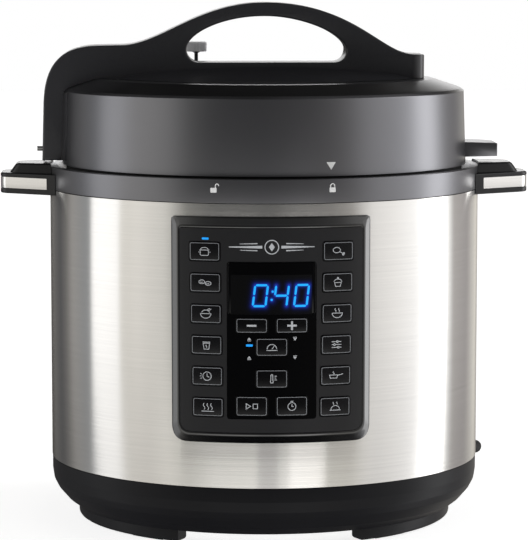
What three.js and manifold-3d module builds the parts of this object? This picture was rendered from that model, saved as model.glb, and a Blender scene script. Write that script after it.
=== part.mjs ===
// Electric pressure cooker, millimetres, +Z up, front towards -Y.
// Everything is drawn around the cooker's own vertical axis (x = 0, y = 0), and the whole group is then moved
// along Y so that the origin is the bottom centre of the object's box.
import * as THREE from "three";
import { mergeVertices } from "three/addons/utils/BufferGeometryUtils.js";
import Module from "manifold-3d";

const wasm = await Module();
wasm.setup();

// ---- Driving dimensions ----
const GAP = 0.3; // clearance between pieces that touch
const SHELL_R = 144; // outside of the steel shell
const SHELL_WALL = 0.8;
const BASE_TOP = 40.9;
const SHELL_TOP = 221.8;
const COLLAR_TOP = 237;
const LID_BOTTOM = 239;
const LID_TOP = 294.8;
const LID_WALL = 2.5;
const PANEL_R = 148; // face of the control panel
const KEY_FACE_R = 148.4;
const KEY_BACK_R = 146.5;
const POCKET_R = 145.8; // bottom of the key pockets
const HANDLE_REACH = 177; // half of the overall width
const CUP_REAR = 171; // rear face of the condensation cup
const AXIS_Y = (KEY_FACE_R - CUP_REAR) / 2; // puts the box's centre on the origin
const ROUND = 48; // facets of the large turned parts
const INNER = 36; // facets of the turned parts inside
const SMALL = 12; // facets of small turned parts
const LUGS = 8; // bayonet lugs
const VALVE = { x: -45, y: 62 }; // steam valve
const FLOAT = { x: 30, y: 62 }; // float valve
const LID_HANDLE_HALF = 18; // half the width of the lid handle along Y
const CORD_R = 3.5;

// ---- Finishes ----
const finish = (color, roughness, metalness = 0) =>
  new THREE.MeshStandardMaterial({ color, roughness, metalness });
const MATERIALS = {
  basePlastic: finish(0x2a2a2c, 0.55),
  steel: finish(0xc9c6c0, 0.3, 1),
  greyMetal: finish(0x6c6c70, 0.35, 0.6),
  handlePlastic: finish(0x2b2b2d, 0.6),
  glossBlack: finish(0x0a0a0c, 0.1),
  keyPlastic: finish(0x17171a, 0.4),
  innerSteel: finish(0xb8b6b2, 0.35, 1),
  potCoat: finish(0x3a3a3c, 0.5, 0.3),
  aluminium: finish(0xb4b4b6, 0.4, 1),
  rubber: finish(0x161616, 0.9),
  silicone: finish(0xd8d6d0, 0.6),
  board: finish(0x1f5a33, 0.6),
  clearPlastic: finish(0x303438, 0.1),
  cordRubber: finish(0x101012, 0.6),
};

// ---- Solids: three.js makes the shapes, manifold-3d only joins and cuts them ----
function toSolid(geometry) {
  const bare = new THREE.BufferGeometry();
  bare.setAttribute("position", geometry.getAttribute("position").clone());
  if (geometry.index) bare.setIndex(geometry.index.clone());
  const merged = mergeVertices(bare, 1e-4);
  return new wasm.Manifold(
    new wasm.Mesh({
      numProp: 3,
      vertProperties: merged.attributes.position.array,
      triVerts: new Uint32Array(merged.index.array),
    }),
  );
}

function toGeometry(solid) {
  const mesh = solid.getMesh();
  const geometry = new THREE.BufferGeometry();
  geometry.setAttribute("position", new THREE.BufferAttribute(mesh.vertProperties, 3));
  geometry.setIndex(new THREE.BufferAttribute(mesh.triVerts, 1));
  return geometry;
}

const combine = (how) => (first, ...others) =>
  toGeometry(others.reduce((solid, next) => solid[how](toSolid(next)), toSolid(first)));
const join = combine("add");
const cut = combine("subtract");
const common = combine("intersect");

// A solid turned about the vertical axis from [radius, height] pairs that run anticlockwise.
function turned(profile, facets = ROUND) {
  const points = profile.map(([r, z]) => new THREE.Vector2(r, z));
  const startsOnAxis = profile[0][0] === 0 && profile.at(-1)[0] === 0;
  if (!startsOnAxis) points.push(points[0].clone());
  return new THREE.LatheGeometry(points, facets).rotateX(Math.PI / 2);
}

const ring = (inner, outer, low, high, facets = ROUND) =>
  turned([[inner, low], [outer, low], [outer, high], [inner, high]], facets);
const disc = (radius, low, high, facets = ROUND) =>
  turned([[0, low], [radius, low], [radius, high], [0, high]], facets);

// A block between two corners.
function block([x0, y0, z0], [x1, y1, z1]) {
  const geometry = new THREE.BoxGeometry(x1 - x0, y1 - y0, z1 - z0);
  return geometry.translate((x0 + x1) / 2, (y0 + y1) / 2, (z0 + z1) / 2);
}

// A shape drawn in plan and raised from low to high.
function raised(shape, low, high, options = {}) {
  const settings = { depth: high - low, bevelEnabled: false, curveSegments: 3, ...options };
  return new THREE.ExtrudeGeometry(shape, settings).translate(0, 0, low);
}

// A shape drawn in the front view (x, z) and extruded between two depths.
function facing(shape, front, back, options = {}) {
  const settings = { depth: back - front, bevelEnabled: false, curveSegments: 2, ...options };
  return new THREE.ExtrudeGeometry(shape, settings).rotateX(Math.PI / 2).translate(0, back, 0);
}

// A closed outline through corner points, each rounded by its radius.
function roundedOutline(corners, radii) {
  const shape = new THREE.Shape();
  corners.forEach((corner, i) => {
    const here = new THREE.Vector2(...corner);
    const back = new THREE.Vector2(...corners.at(i - 1)).sub(here).normalize();
    const ahead = new THREE.Vector2(...corners[(i + 1) % corners.length]).sub(here).normalize();
    const radius = Array.isArray(radii) ? radii[i] : radii;
    const reach = radius / Math.tan(Math.acos(back.dot(ahead)) / 2);
    const start = here.clone().addScaledVector(back, reach);
    const end = here.clone().addScaledVector(ahead, reach);
    if (i === 0) shape.moveTo(start.x, start.y);
    else shape.lineTo(start.x, start.y);
    if (radius > 0) shape.quadraticCurveTo(here.x, here.y, end.x, end.y);
  });
  shape.closePath();
  return shape;
}

function roundedBox(width, height, radius, x = 0, z = 0) {
  const [w, h] = [width / 2, height / 2];
  return roundedOutline([[x - w, z - h], [x + w, z - h], [x + w, z + h], [x - w, z + h]], radius);
}

// The corners of a convex anticlockwise outline, moved inwards by a distance.
function inset(corners, distance) {
  const edges = corners.map((corner, i) => {
    const start = new THREE.Vector2(...corner);
    const along = new THREE.Vector2(...corners[(i + 1) % corners.length]).sub(start).normalize();
    return { start: start.add(new THREE.Vector2(-along.y, along.x).multiplyScalar(distance)), along };
  });
  return edges.map((edge, i) => {
    const before = edges.at(i - 1);
    const between = edge.start.clone().sub(before.start);
    const t = between.cross(edge.along) / before.along.cross(edge.along);
    return before.start.clone().addScaledVector(before.along, t).toArray();
  });
}

// An arc-shaped block; angles are degrees from the front, positive towards +X.
function arcBlock(inner, outer, from, to, low, high, options = {}) {
  const [a, b] = [from, to].map((degrees) => THREE.MathUtils.degToRad(degrees - 90));
  const shape = new THREE.Shape();
  shape.absarc(0, 0, outer, a, b, false);
  shape.absarc(0, 0, inner, b, a, true);
  shape.closePath();
  return raised(shape, low, high, { curveSegments: 2, ...options });
}

// A round tube whose radius changes along a curve.
function taperedTube(curve, radiusAt, sides, steps) {
  const geometry = new THREE.CylinderGeometry(1, 1, 1, sides, steps);
  const position = geometry.getAttribute("position");
  const up = new THREE.Vector3(0, 0, 1);
  for (let i = 0; i < position.count; i++) {
    const t = position.getY(i) + 0.5;
    const along = curve.getTangentAt(t);
    const side = along.clone().cross(up).normalize();
    const rise = side.clone().cross(along);
    const point = curve.getPointAt(t);
    point.addScaledVector(side, position.getX(i) * radiusAt(t));
    point.addScaledVector(rise, position.getZ(i) * radiusAt(t));
    position.setXYZ(i, point.x, point.y, point.z);
  }
  return geometry;
}

const rod = (x, y, low, high, radius, sides = SMALL) => disc(radius, low, high, sides).translate(x, y, 0);
const turnedTo = (geometry, degrees) => geometry.rotateZ(THREE.MathUtils.degToRad(degrees));
const mirrored = (geometry) => turnedTo(geometry, 180);

// ---- The group ----
const cooker = new THREE.Group();
cooker.position.y = AXIS_Y;

function add(name, geometry, material) {
  const mesh = new THREE.Mesh(geometry, material);
  mesh.name = name;
  cooker.add(mesh);
}

// ---- Base: housing with two foot rails, bottom plate, screws and pads ----
const PLATE_R = 112;
const RAIL = { inner: 114.5, outer: 125.9, bottom: 0.5, from: 28, to: 152 };
const PAD = { inner: 117.5, outer: 123.5, half: 6, top: 2.4 };
const PAD_ANGLES = [40, 140, 220, 320];
const SCREW = { circle: 105, shaft: 1.6, head: 3.6, angles: [60, 180, 300] };
const CORD_ANGLE = 122; // where the cord leaves, degrees from the front towards +X
const CORD_HEIGHT = 27.5;

const spot = (radius, degrees) => {
  const angle = THREE.MathUtils.degToRad(degrees);
  return [radius * Math.sin(angle), -radius * Math.cos(angle)];
};

function baseHousing() {
  const bowl = turned([
    [98, 9.8], [PLATE_R + GAP, 9.8], [PLATE_R + GAP, 8.3], [127.2, 8.3], [140, 20],
    [142.9, 25.5], [SHELL_R, 32], [SHELL_R, BASE_TOP], [141.2, BASE_TOP], [141.2, 32],
    [137, 21.5], [127, 12.3], [98, 12.3],
  ]);
  const edge = { bevelEnabled: true, bevelSize: 1.5, bevelOffset: -1.5, bevelThickness: 1.5, bevelSegments: 1, curveSegments: 10 };
  const rails = [RAIL.from, RAIL.from + 180].map((from) =>
    arcBlock(RAIL.inner, RAIL.outer, from, from + RAIL.to - RAIL.from, RAIL.bottom + 1.5, 9, edge),
  );
  const bosses = SCREW.angles.map((angle) => rod(...spot(SCREW.circle, angle), 10, 20, 5));
  const solid = join(bowl, ...rails, ...bosses);
  const pockets = PAD_ANGLES.map((angle) =>
    arcBlock(PAD.inner - GAP, PAD.outer + GAP, angle - PAD.half - 0.3, angle + PAD.half + 0.3, -1, PAD.top + GAP),
  );
  const holes = SCREW.angles.map((angle) => rod(...spot(SCREW.circle, angle), 5, 18, SCREW.shaft + GAP));
  const cordHole = new THREE.CylinderGeometry(4.6, 4.6, 20, 24).translate(0, -SHELL_R, CORD_HEIGHT);
  return cut(solid, ...pockets, ...holes, turnedTo(cordHole, CORD_ANGLE));
}
add("base_housing", baseHousing(), MATERIALS.basePlastic);

function bottomPlate() {
  const holes = SCREW.angles.map((angle) => rod(...spot(SCREW.circle, angle), 0, 20, SCREW.shaft + GAP));
  const slots = [-2, -1, 0, 1, 2].map((i) => raised(roundedBox(70, 4, 1.9, 0, i * 11), 0, 20));
  return cut(disc(PLATE_R, 8.3, 9.5), ...holes, ...slots);
}
add("bottom_plate", bottomPlate(), MATERIALS.aluminium);

SCREW.angles.forEach((angle, i) => {
  const { shaft, head } = SCREW;
  const profile = [[0, 5.6], [head, 6.4], [head, 8], [shaft, 8], [shaft, 17.4], [0, 17.4]];
  add(`bottom_screw_${i + 1}`, turned(profile, 12).translate(...spot(SCREW.circle, angle), 0), MATERIALS.steel);
});
PAD_ANGLES.forEach((angle, i) => {
  const pad = arcBlock(PAD.inner, PAD.outer, angle - PAD.half, angle + PAD.half, 0, PAD.top);
  add(`foot_pad_${i + 1}`, pad, MATERIALS.rubber);
});

// ---- Shell, collar and side handles ----
const PANEL = { bottom: 70.5, top: 213.8, halfBottom: 64, halfTop: 64.2, slope: 5 };
const WINDOW = { half: 56, bottom: 78, top: 206 };
const windowShape = (margin) =>
  roundedBox(2 * (WINDOW.half - margin), WINDOW.top - WINDOW.bottom - 2 * margin, 4, 0, (WINDOW.top + WINDOW.bottom) / 2);

add(
  "outer_shell",
  cut(ring(SHELL_R - SHELL_WALL, SHELL_R, BASE_TOP + GAP, SHELL_TOP), facing(windowShape(0), -160, -110)),
  MATERIALS.steel,
);

const COLLAR_BOTTOM = SHELL_TOP + GAP;
const GUTTER = { floor: 228, under: 225.5, inner: 115.4, outer: 134.5 };
add(
  "top_collar",
  turned([
    [SHELL_R, COLLAR_BOTTOM], [SHELL_R, COLLAR_TOP - 0.8], [SHELL_R - 0.8, COLLAR_TOP], [139, COLLAR_TOP],
    [GUTTER.outer, 229.5], [GUTTER.outer, GUTTER.floor], [GUTTER.inner, GUTTER.floor],
    [GUTTER.inner, GUTTER.under], [140, GUTTER.under], [140, COLLAR_BOTTOM],
  ]),
  MATERIALS.greyMetal,
);

const HANDLE = { bottom: 218.5, top: 232, crown: 238, root: SHELL_R + GAP };
const HANDLE_CORNERS = [[130, -43.4], [HANDLE_REACH, -13.2], [HANDLE_REACH, 13.2], [130, 43.4]];
const HANDLE_RADII = [0, 11, 11, 0];
const BAND = { bottom: 222, top: 229.5, thick: 1.2, start: 146 };
const handleShape = (distance) =>
  roundedOutline(inset(HANDLE_CORNERS, distance), HANDLE_RADII.map((r) => Math.max(r - distance, 0)));

function sideHandle() {
  const grooveDepth = BAND.thick + GAP;
  const plate = raised(handleShape(0), HANDLE.bottom, HANDLE.top);
  const groove = cut(raised(handleShape(-5), BAND.bottom - GAP, BAND.top + GAP), raised(handleShape(grooveDepth), 200, 250));
  const grooveStart = block([BAND.start - GAP, -60, 200], [190, 60, 250]);
  const crownCorners = inset(HANDLE_CORNERS, 11).map(([x, y]) => [Math.max(x, 147), y]);
  const bevel = { bevelEnabled: true, bevelSize: 6, bevelThickness: 5, bevelSegments: 2 };
  const crown = raised(roundedOutline(crownCorners, [0.5, 6, 6, 0.5]), HANDLE.crown - 6, HANDLE.crown - 5, bevel);
  return cut(join(plate, crown), common(groove, grooveStart), disc(HANDLE.root, 200, 260));
}

function handleBand() {
  const strip = cut(raised(handleShape(0), BAND.bottom, BAND.top), raised(handleShape(BAND.thick), 200, 250));
  return common(strip, block([BAND.start, -60, 200], [190, 60, 250]));
}
add("handle_right", sideHandle(), MATERIALS.handlePlastic);
add("handle_left", mirrored(sideHandle()), MATERIALS.handlePlastic);
add("handle_band_right", handleBand(), MATERIALS.steel);
add("handle_band_left", mirrored(handleBand()), MATERIALS.steel);

// ---- Pot housing, heating plate, sensor and boards ----
const HOUSING = { inner: 114.2, outer: 115, bottom: 50, top: 236, flange: 124, lug: 127.8 };
const lugsBetween = (inner, outer, low, high) =>
  Array.from({ length: LUGS }, (_, i) => {
    const angle = (i * 360) / LUGS;
    return arcBlock(inner, outer, angle - 8, angle + 8, low, high);
  });

add(
  "pot_housing",
  join(
    turned([
      [60, 50], [112, 50], [HOUSING.outer, 53], [HOUSING.outer, 233.8], [HOUSING.flange, 233.8],
      [HOUSING.flange, HOUSING.top], [HOUSING.inner, HOUSING.top], [HOUSING.inner, 54], [111, 51.5], [60, 51.5],
    ], INNER),
    ...lugsBetween(HOUSING.flange - 2, HOUSING.lug, 233.8, HOUSING.top),
  ),
  MATERIALS.innerSteel,
);

const HEATER_TOP = 74;
add(
  "heating_plate",
  join(
    turned([
      [6, 54.5], [19.5, 54.5], [19.5, 60], [95, 60], [95, 72], [91, HEATER_TOP], [17, HEATER_TOP],
      [17, 57], [6, 57],
    ], INNER),
    ...[30, 150, 270].map((angle) => rod(...spot(75, angle), 51.8, 61, 4, 10)),
  ),
  MATERIALS.aluminium,
);

add(
  "temperature_sensor",
  turned([[0, 46], [5, 46], [5, 70.5], [16, 70.5], [16, 73.2], [15, 73.9], [0, 73.9]], 24),
  MATERIALS.aluminium,
);

class Helix extends THREE.Curve {
  constructor(radius, low, high, turns) {
    super();
    Object.assign(this, { radius, low, high, turns });
  }
  getPoint(t, target = new THREE.Vector3()) {
    const angle = t * this.turns * 2 * Math.PI;
    const height = this.low + t * (this.high - this.low);
    return target.set(this.radius * Math.cos(angle), this.radius * Math.sin(angle), height);
  }
}
const WIRE_R = 0.9;
const roundSection = (radius, sides) => {
  const section = new THREE.Shape();
  for (let i = 0; i < sides; i++) {
    const angle = (i / sides) * 2 * Math.PI;
    const point = [radius * Math.cos(angle), radius * Math.sin(angle)];
    if (i === 0) section.moveTo(...point);
    else section.lineTo(...point);
  }
  return section;
};
const springCurve = new Helix(9, 57.3 + WIRE_R, 70.2 - WIRE_R, 3.5);
add(
  "sensor_spring",
  new THREE.ExtrudeGeometry(roundSection(WIRE_R, 5), { steps: 42, extrudePath: springCurve }),
  MATERIALS.steel,
);

add(
  "power_board",
  join(
    block([-55, -45, 20], [45, 25, 21.6]),
    block([-45, -35, 21], [-20, -12, 42]),
    block([-8, -36, 21], [8, -20, 36]),
    block([18, -38, 21], [38, 4, 30]),
    rod(-30, 8, 21, 44, 9),
    ...[[-50, -40], [40, -40], [-50, 20], [40, 20]].map(([x, y]) => rod(x, y, 9.8, 20.5, 3, 12)),
  ),
  MATERIALS.board,
);
add("control_board", block([-50, -128, 84], [50, -126.4, 200]), MATERIALS.board);

const DISPLAY = { half: 27, bottom: 153.2, top: 185.2 };
const displayShape = (margin) =>
  roundedBox(
    2 * (DISPLAY.half + margin), DISPLAY.top - DISPLAY.bottom + 2 * margin, 1.2, 0, (DISPLAY.top + DISPLAY.bottom) / 2,
  );
add(
  "display_module",
  block([-DISPLAY.half, -139, DISPLAY.bottom], [DISPLAY.half, -128.3, DISPLAY.top]),
  MATERIALS.keyPlastic,
);

// ---- Control panel ----
const FINE = 90; // facets of the panel's cylinders
const COLUMN_TOP_ANGLE = 16.5;
const COLUMN_BOTTOM_ANGLE = 15.72;
const ROW_TOP = 192.1;
const ROW_PITCH = 19.72;
const KEY = { width: 18.6, height: 12, corner: 1.6 };
const KEYS = [];
for (let row = 0; row < 6; row++) {
  const angle = THREE.MathUtils.lerp(COLUMN_TOP_ANGLE, COLUMN_BOTTOM_ANGLE, row / 5);
  const z = ROW_TOP - row * ROW_PITCH;
  KEYS.push({ name: `button_left_${row + 1}`, angle: -angle, z, ...KEY });
  KEYS.push({ name: `button_right_${row + 1}`, angle, z, ...KEY });
}
KEYS.push(
  { name: "button_minus", angle: -4.9, z: 145.7, ...KEY, height: 9.1 },
  { name: "button_plus", angle: 4.9, z: 145.7, ...KEY, height: 9.1 },
  { name: "button_pressure", angle: 0, z: 132.1, ...KEY, height: 11 },
  { name: "button_temperature", angle: 0, z: 112, ...KEY, height: 11 },
  { name: "button_start_stop", angle: -4.9, z: 94.5, ...KEY },
  { name: "button_delay", angle: 4.9, z: 94.5, ...KEY },
);

const panelCorners = [
  [-PANEL.halfBottom, PANEL.bottom], [PANEL.halfBottom, PANEL.bottom],
  [PANEL.halfTop, PANEL.top], [-PANEL.halfTop, PANEL.top],
];
const panelShape = (distance) =>
  roundedOutline(inset(panelCorners, distance), [9.5, 9.5, 2.2, 2.2].map((r) => Math.max(r - distance / 2, 1)));
const panelLayer = (inner, outer, shape) => common(ring(inner, outer, 60, 225, FINE), facing(shape, -160, -100));
const keyPrism = ({ width, height, corner, angle, z }, margin) =>
  turnedTo(
    facing(roundedBox(width + 2 * margin, height + 2 * margin, corner + margin, 0, z), -160, -130, { curveSegments: 1 }),
    angle,
  );

function controlBezel() {
  const back = SHELL_R + GAP;
  const step = (PANEL_R - back) / 2;
  const layers = [0, 1].map((i) => panelLayer(back, back + (i + 1) * step, panelShape(i * PANEL.slope)));
  const lip = cut(panelLayer(141, back + 1, windowShape(0.4)), facing(windowShape(3), -160, -100));
  const body = join(...layers, lip);
  const pockets = join(...KEYS.map((key) => keyPrism(key, GAP)));
  const pocketDepth = common(ring(POCKET_R, 155, 60, 225, FINE), pockets);
  return cut(body, pocketDepth, facing(displayShape(GAP), -160, -100));
}
add("control_bezel", controlBezel(), MATERIALS.glossBlack);
add(
  "display_window",
  common(ring(SHELL_R + 1.2, PANEL_R - 0.3, 60, 225, FINE), facing(displayShape(0), -160, -130)),
  MATERIALS.clearPlastic,
);
KEYS.forEach((key) => {
  add(key.name, common(ring(KEY_BACK_R, KEY_FACE_R, 60, 225, FINE), keyPrism(key, 0)), MATERIALS.keyPlastic);
});

// ---- Inner pot ----
const POT_R = 111.5;
add(
  "inner_pot",
  turned([
    [0, HEATER_TOP + GAP], [97, HEATER_TOP + GAP], [107, 78], [POT_R, 87], [POT_R, HOUSING.top + GAP],
    [118.5, HOUSING.top + GAP], [118.5, 237.8], [POT_R - 1.5, 237.8], [POT_R - 1.5, 87.4], [106, 79.1],
    [96.6, 75.8], [0, 75.8],
  ], INNER),
  MATERIALS.potCoat,
);

// ---- Condensation cup and its bracket, at the rear ----
const CUP = { half: 22, front: 147.5, bottom: 160, rimLow: 202.3, rimHigh: 204.3, wall: 1.8 };
const BRACKET = { half: 27, rear: 168, roof: 211, top: 214, lip: 200 };

function collectorBracket() {
  const hood = block([-BRACKET.half, 130, BRACKET.lip], [BRACKET.half, BRACKET.rear, BRACKET.top]);
  const channel = block([-25, 120, 202], [25, 180, BRACKET.roof]);
  const opening = block([-22.6, 120, 190], [22.6, 180, 203]);
  return cut(hood, channel, opening, disc(SHELL_R + GAP, 190, 230));
}
add("collector_bracket", collectorBracket(), MATERIALS.basePlastic);

function condensationCup() {
  const depth = CUP_REAR - CUP.front;
  const middle = (CUP_REAR + CUP.front) / 2;
  const plan = (margin, radius) => roundedBox(2 * (CUP.half - margin), depth - 2 * margin, radius, 0, middle);
  const body = raised(plan(0, 5), CUP.bottom, CUP.rimHigh);
  const rim = raised(roundedBox(49.2, 20, 2, 0, CUP.front + 10.2), CUP.rimLow, CUP.rimHigh);
  const hollow = raised(plan(CUP.wall, 3.4), CUP.bottom + CUP.wall, CUP.rimHigh + 5);
  return cut(join(body, rim), hollow);
}
add("condensation_cup", condensationCup(), MATERIALS.clearPlastic);

// ---- Lid: cover, plate, seal, valves ----
const coverProfile = (grow) => [
  [135.7 + grow, LID_BOTTOM], [134.2 + grow, 284.5], [132.5 + grow, 287.6 + grow],
  [129.5 + grow / 2, 289.3 + grow], [113, LID_TOP + grow], [0, LID_TOP + grow],
];

function lidCover() {
  const shell = turned([
    [135.7 - LID_WALL, LID_BOTTOM], ...coverProfile(0), [0, LID_TOP - LID_WALL],
    [112.6, LID_TOP - LID_WALL], [128.6, 287], [131.4, 284], [134.2 - LID_WALL, 282],
  ]);
  return cut(
    shell,
    rod(0, 0, 280, 300, 3 + GAP),
    rod(VALVE.x, VALVE.y, 280, 300, 4.2 + GAP),
    rod(FLOAT.x, FLOAT.y, 280, 300, 3 + 0.4),
  );
}
add("lid_cover", lidCover(), MATERIALS.greyMetal);

// The short tab on the right of the lid, which parks it in a side handle.
function lidTab() {
  const tabShape = new THREE.Shape();
  tabShape.moveTo(133.7, 242.7);
  tabShape.lineTo(157.5, 243.2);
  tabShape.lineTo(157.5, 251.8);
  tabShape.lineTo(133.7, 252.7);
  tabShape.closePath();
  const tab = common(
    facing(tabShape, -18, 18),
    raised(roundedOutline([[130, -18], [157.5, -18], [157.5, 18], [130, 18]], [0, 1, 12, 0]), 200, 300),
  );
  return cut(tab, disc(136, 230, 260, 96));
}
add("lid_tab", lidTab(), MATERIALS.greyMetal);

const LID_PLATE = { low: 243, high: 245, outer: 132.7, inner: 131.2 };
add(
  "lid_plate",
  cut(
    join(
      turned([
        [LID_PLATE.inner, 230.5], [LID_PLATE.outer, 230.5], [LID_PLATE.outer, LID_PLATE.high],
        [0, LID_PLATE.high], [0, LID_PLATE.low], [LID_PLATE.inner, LID_PLATE.low],
      ]),
      ...lugsBetween(128.5, LID_PLATE.inner + 0.7, 230.8, 233.3),
    ),
    rod(0, 0, 230, 250, 3 + GAP),
    rod(VALVE.x, VALVE.y, 230, 250, 3 + GAP),
    rod(FLOAT.x, FLOAT.y, 230, 250, 3 + 0.4),
  ),
  MATERIALS.innerSteel,
);

add("sealing_ring", turned([
  [111, 238.4], [120.5, 238.4], [120.5, 242.6], [117.8, 242.6], [117.8, 240.2], [113.7, 240.2],
  [113.7, 242.6], [111, 242.6],
], INNER), MATERIALS.silicone);

add(
  "steam_nozzle",
  turned([
    [1.8, 240], [3, 240], [3, 245.3], [9, 245.3], [9, 247.3], [4.2, 248], [4.2, 295.6], [3, 296.4], [1.8, 296.4],
  ], SMALL).translate(VALVE.x, VALVE.y, 0),
  MATERIALS.innerSteel,
);
add(
  "valve_shield",
  turned([[0, 236.5], [12.2, 236.5], [13, 237.3], [13, 242.7], [12, 242.7], [12, 237.5], [0, 237.5]], 24)
    .translate(VALVE.x, VALVE.y, 0),
  MATERIALS.innerSteel,
);
add(
  "float_valve",
  turned([[0, 236.2], [5, 236.2], [5, 237.7], [3, 237.7], [3, 294], [2.4, 294.6], [0, 294.6]], SMALL)
    .translate(FLOAT.x, FLOAT.y, 0),
  MATERIALS.steel,
);
add(
  "lid_bolt",
  turned([[0, 239], [7, 239], [8, 240], [8, 242.7], [3, 242.7], [3, 303], [0, 303]], SMALL),
  MATERIALS.steel,
);

// ---- Steam valve: thin stem with a finger lever, under a metal cap ----
const CAP = { low: 310.3, high: 317.1, radius: 7.3 };
function steamValveLever() {
  const stem = turned([
    [0, 286], [0.9, 286], [1.3, 290], [1.3, 309.4], [4, 310.6], [4, 313.5], [0, 313.5],
  ], SMALL);
  const arm = raised(roundedBox(6, 26, 2.9, 0, 12), 311.2, 313.4);
  return join(stem, arm).translate(VALVE.x, VALVE.y, 0);
}
add("steam_valve_lever", steamValveLever(), MATERIALS.handlePlastic);

function steamValveCap() {
  const cap = turned([
    [4 + GAP, CAP.low], [CAP.radius - 0.4, CAP.low], [CAP.radius, CAP.low + 0.4], [CAP.radius, CAP.high - 0.8],
    [CAP.radius - 0.8, CAP.high], [0, CAP.high], [0, 313.5 + GAP], [4 + GAP, 313.5 + GAP],
  ], 24);
  const armSlot = block([-3 - GAP, 2, 305], [3 + GAP, 20, 313.4 + GAP]);
  return cut(cap, armSlot).translate(VALVE.x, VALVE.y, 0);
}
add("steam_valve_cap", steamValveCap(), MATERIALS.aluminium);

// ---- Lid handle: one moulding with an arch, an arm down the left side and a flared foot ----
const ARM = { outer: -147.5, bottom: 240.5, pinHeight: 250 };
const HANDLE_EDGE = 3; // rounding of the long edges

function handleOutline() {
  const outline = new THREE.Shape();
  outline.moveTo(ARM.outer, ARM.bottom);
  outline.lineTo(-125, ARM.bottom);
  outline.lineTo(-125, 290);
  outline.lineTo(105.5, 290);
  outline.lineTo(105.5, 305.5);
  outline.quadraticCurveTo(105.5, 310.7, 100.3, 310.8);
  outline.bezierCurveTo(78, 311, 60, 345.4, 0, 345.4);
  outline.bezierCurveTo(-45, 345.4, -70, 317.1, -96, 317.1);
  outline.lineTo(-109, 316.9);
  outline.bezierCurveTo(-142, 316.9, ARM.outer, 296, ARM.outer, 262);
  outline.closePath();
  const grip = new THREE.Path();
  grip.moveTo(-44, 305.5);
  grip.lineTo(46, 305.5);
  grip.bezierCurveTo(50.5, 305.5, 52.9, 309, 52.9, 314);
  grip.bezierCurveTo(52.9, 323, 27, 336.3, 0, 336.3);
  grip.bezierCurveTo(-30, 336.3, -52.2, 324, -52.2, 314.5);
  grip.bezierCurveTo(-52.2, 309.5, -48.5, 305.5, -44, 305.5);
  outline.holes.push(grip);
  return outline;
}

// The foot spreads from the handle's own width to a wide oval where it meets the lid.
function flaredFoot() {
  const [low, high] = [293, 305.5];
  const foot = new THREE.CylinderGeometry(1, 1, high - low, 40, 4).rotateX(Math.PI / 2);
  const position = foot.getAttribute("position");
  for (let i = 0; i < position.count; i++) {
    const fall = 1 - (position.getZ(i) / (high - low) + 0.5);
    const alongX = 105.5 + 2.5 * fall;
    const alongY = LID_HANDLE_HALF - 1.2 + 38 * fall ** 2.2;
    position.setX(i, position.getX(i) * alongX);
    position.setY(i, position.getY(i) * alongY);
  }
  return foot.translate(0, 0, (low + high) / 2);
}

function lidHandle() {
  const edge = {
    bevelEnabled: true, bevelSize: HANDLE_EDGE, bevelOffset: -HANDLE_EDGE, bevelThickness: HANDLE_EDGE,
    bevelSegments: 2, curveSegments: 7,
  };
  const front = HANDLE_EDGE - LID_HANDLE_HALF;
  const arch = facing(handleOutline(), front, -front, edge);
  const hookShape = new THREE.Shape();
  hookShape.moveTo(-147.4, 243);
  hookShape.lineTo(-146.4, 238.3);
  hookShape.lineTo(-144.4, 243);
  hookShape.closePath();
  const hook = facing(hookShape, -15, 15);
  const reach = 250;
  const lidEnvelope = turned([[0, 200], [135.7 + GAP, 200], ...coverProfile(GAP)]);
  const plain = join(arch, flaredFoot(), hook);
  const kept = common(plain, block([-reach, -reach, 200], [105.5, reach, 400]));
  const pinHole = new THREE.CylinderGeometry(1.5 + GAP, 1.5 + GAP, 16, 16).rotateZ(Math.PI / 2);
  return cut(
    kept,
    lidEnvelope,
    rod(0, 0, 280, 303 + GAP, 3 + GAP),
    pinHole.translate(ARM.outer - 2, 0, ARM.pinHeight),
  );
}
add("lid_handle", lidHandle(), MATERIALS.handlePlastic);
add(
  "arm_pin",
  new THREE.CylinderGeometry(1.5, 1.5, 9.5, 12).rotateZ(Math.PI / 2).translate(ARM.outer + 0.85, 0, ARM.pinHeight),
  MATERIALS.steel,
);

// ---- Mains cord: moulded strain relief, free stretch, stored coil and plug ----
const CORD_EXIT = [
  [122.6, 76.6, 27.5], [131, 81.9, 27.3], [139.3, 87.1, 27], [147, 92.9, 26.3], [153, 100.6, 25.2],
  [156.4, 110.2, 23.6], [157.4, 119.8, 21.6],
];
const CORD_ROUTE = [
  [157.4, 120.5, 21.4], [157.1, 126.5, 19.9], [155.7, 134, 17.4], [153, 142, 14], [149.3, 150, 10.4],
  [144.8, 158, 7.2], [140, 166, 5], [134.9, 173.8, 4], [129, 181.2, 3.8], [122.8, 187.6, 3.8],
  [116.4, 194, 3.8], [108, 202.4, 3.8],
];
const COIL = { x: 62, y: 184, inner: 28, outer: 49, low: 0.3, high: 7.3 };
const curveThrough = (points) =>
  new THREE.CatmullRomCurve3(points.map((point) => new THREE.Vector3(...point)), false, "centripetal");

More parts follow.
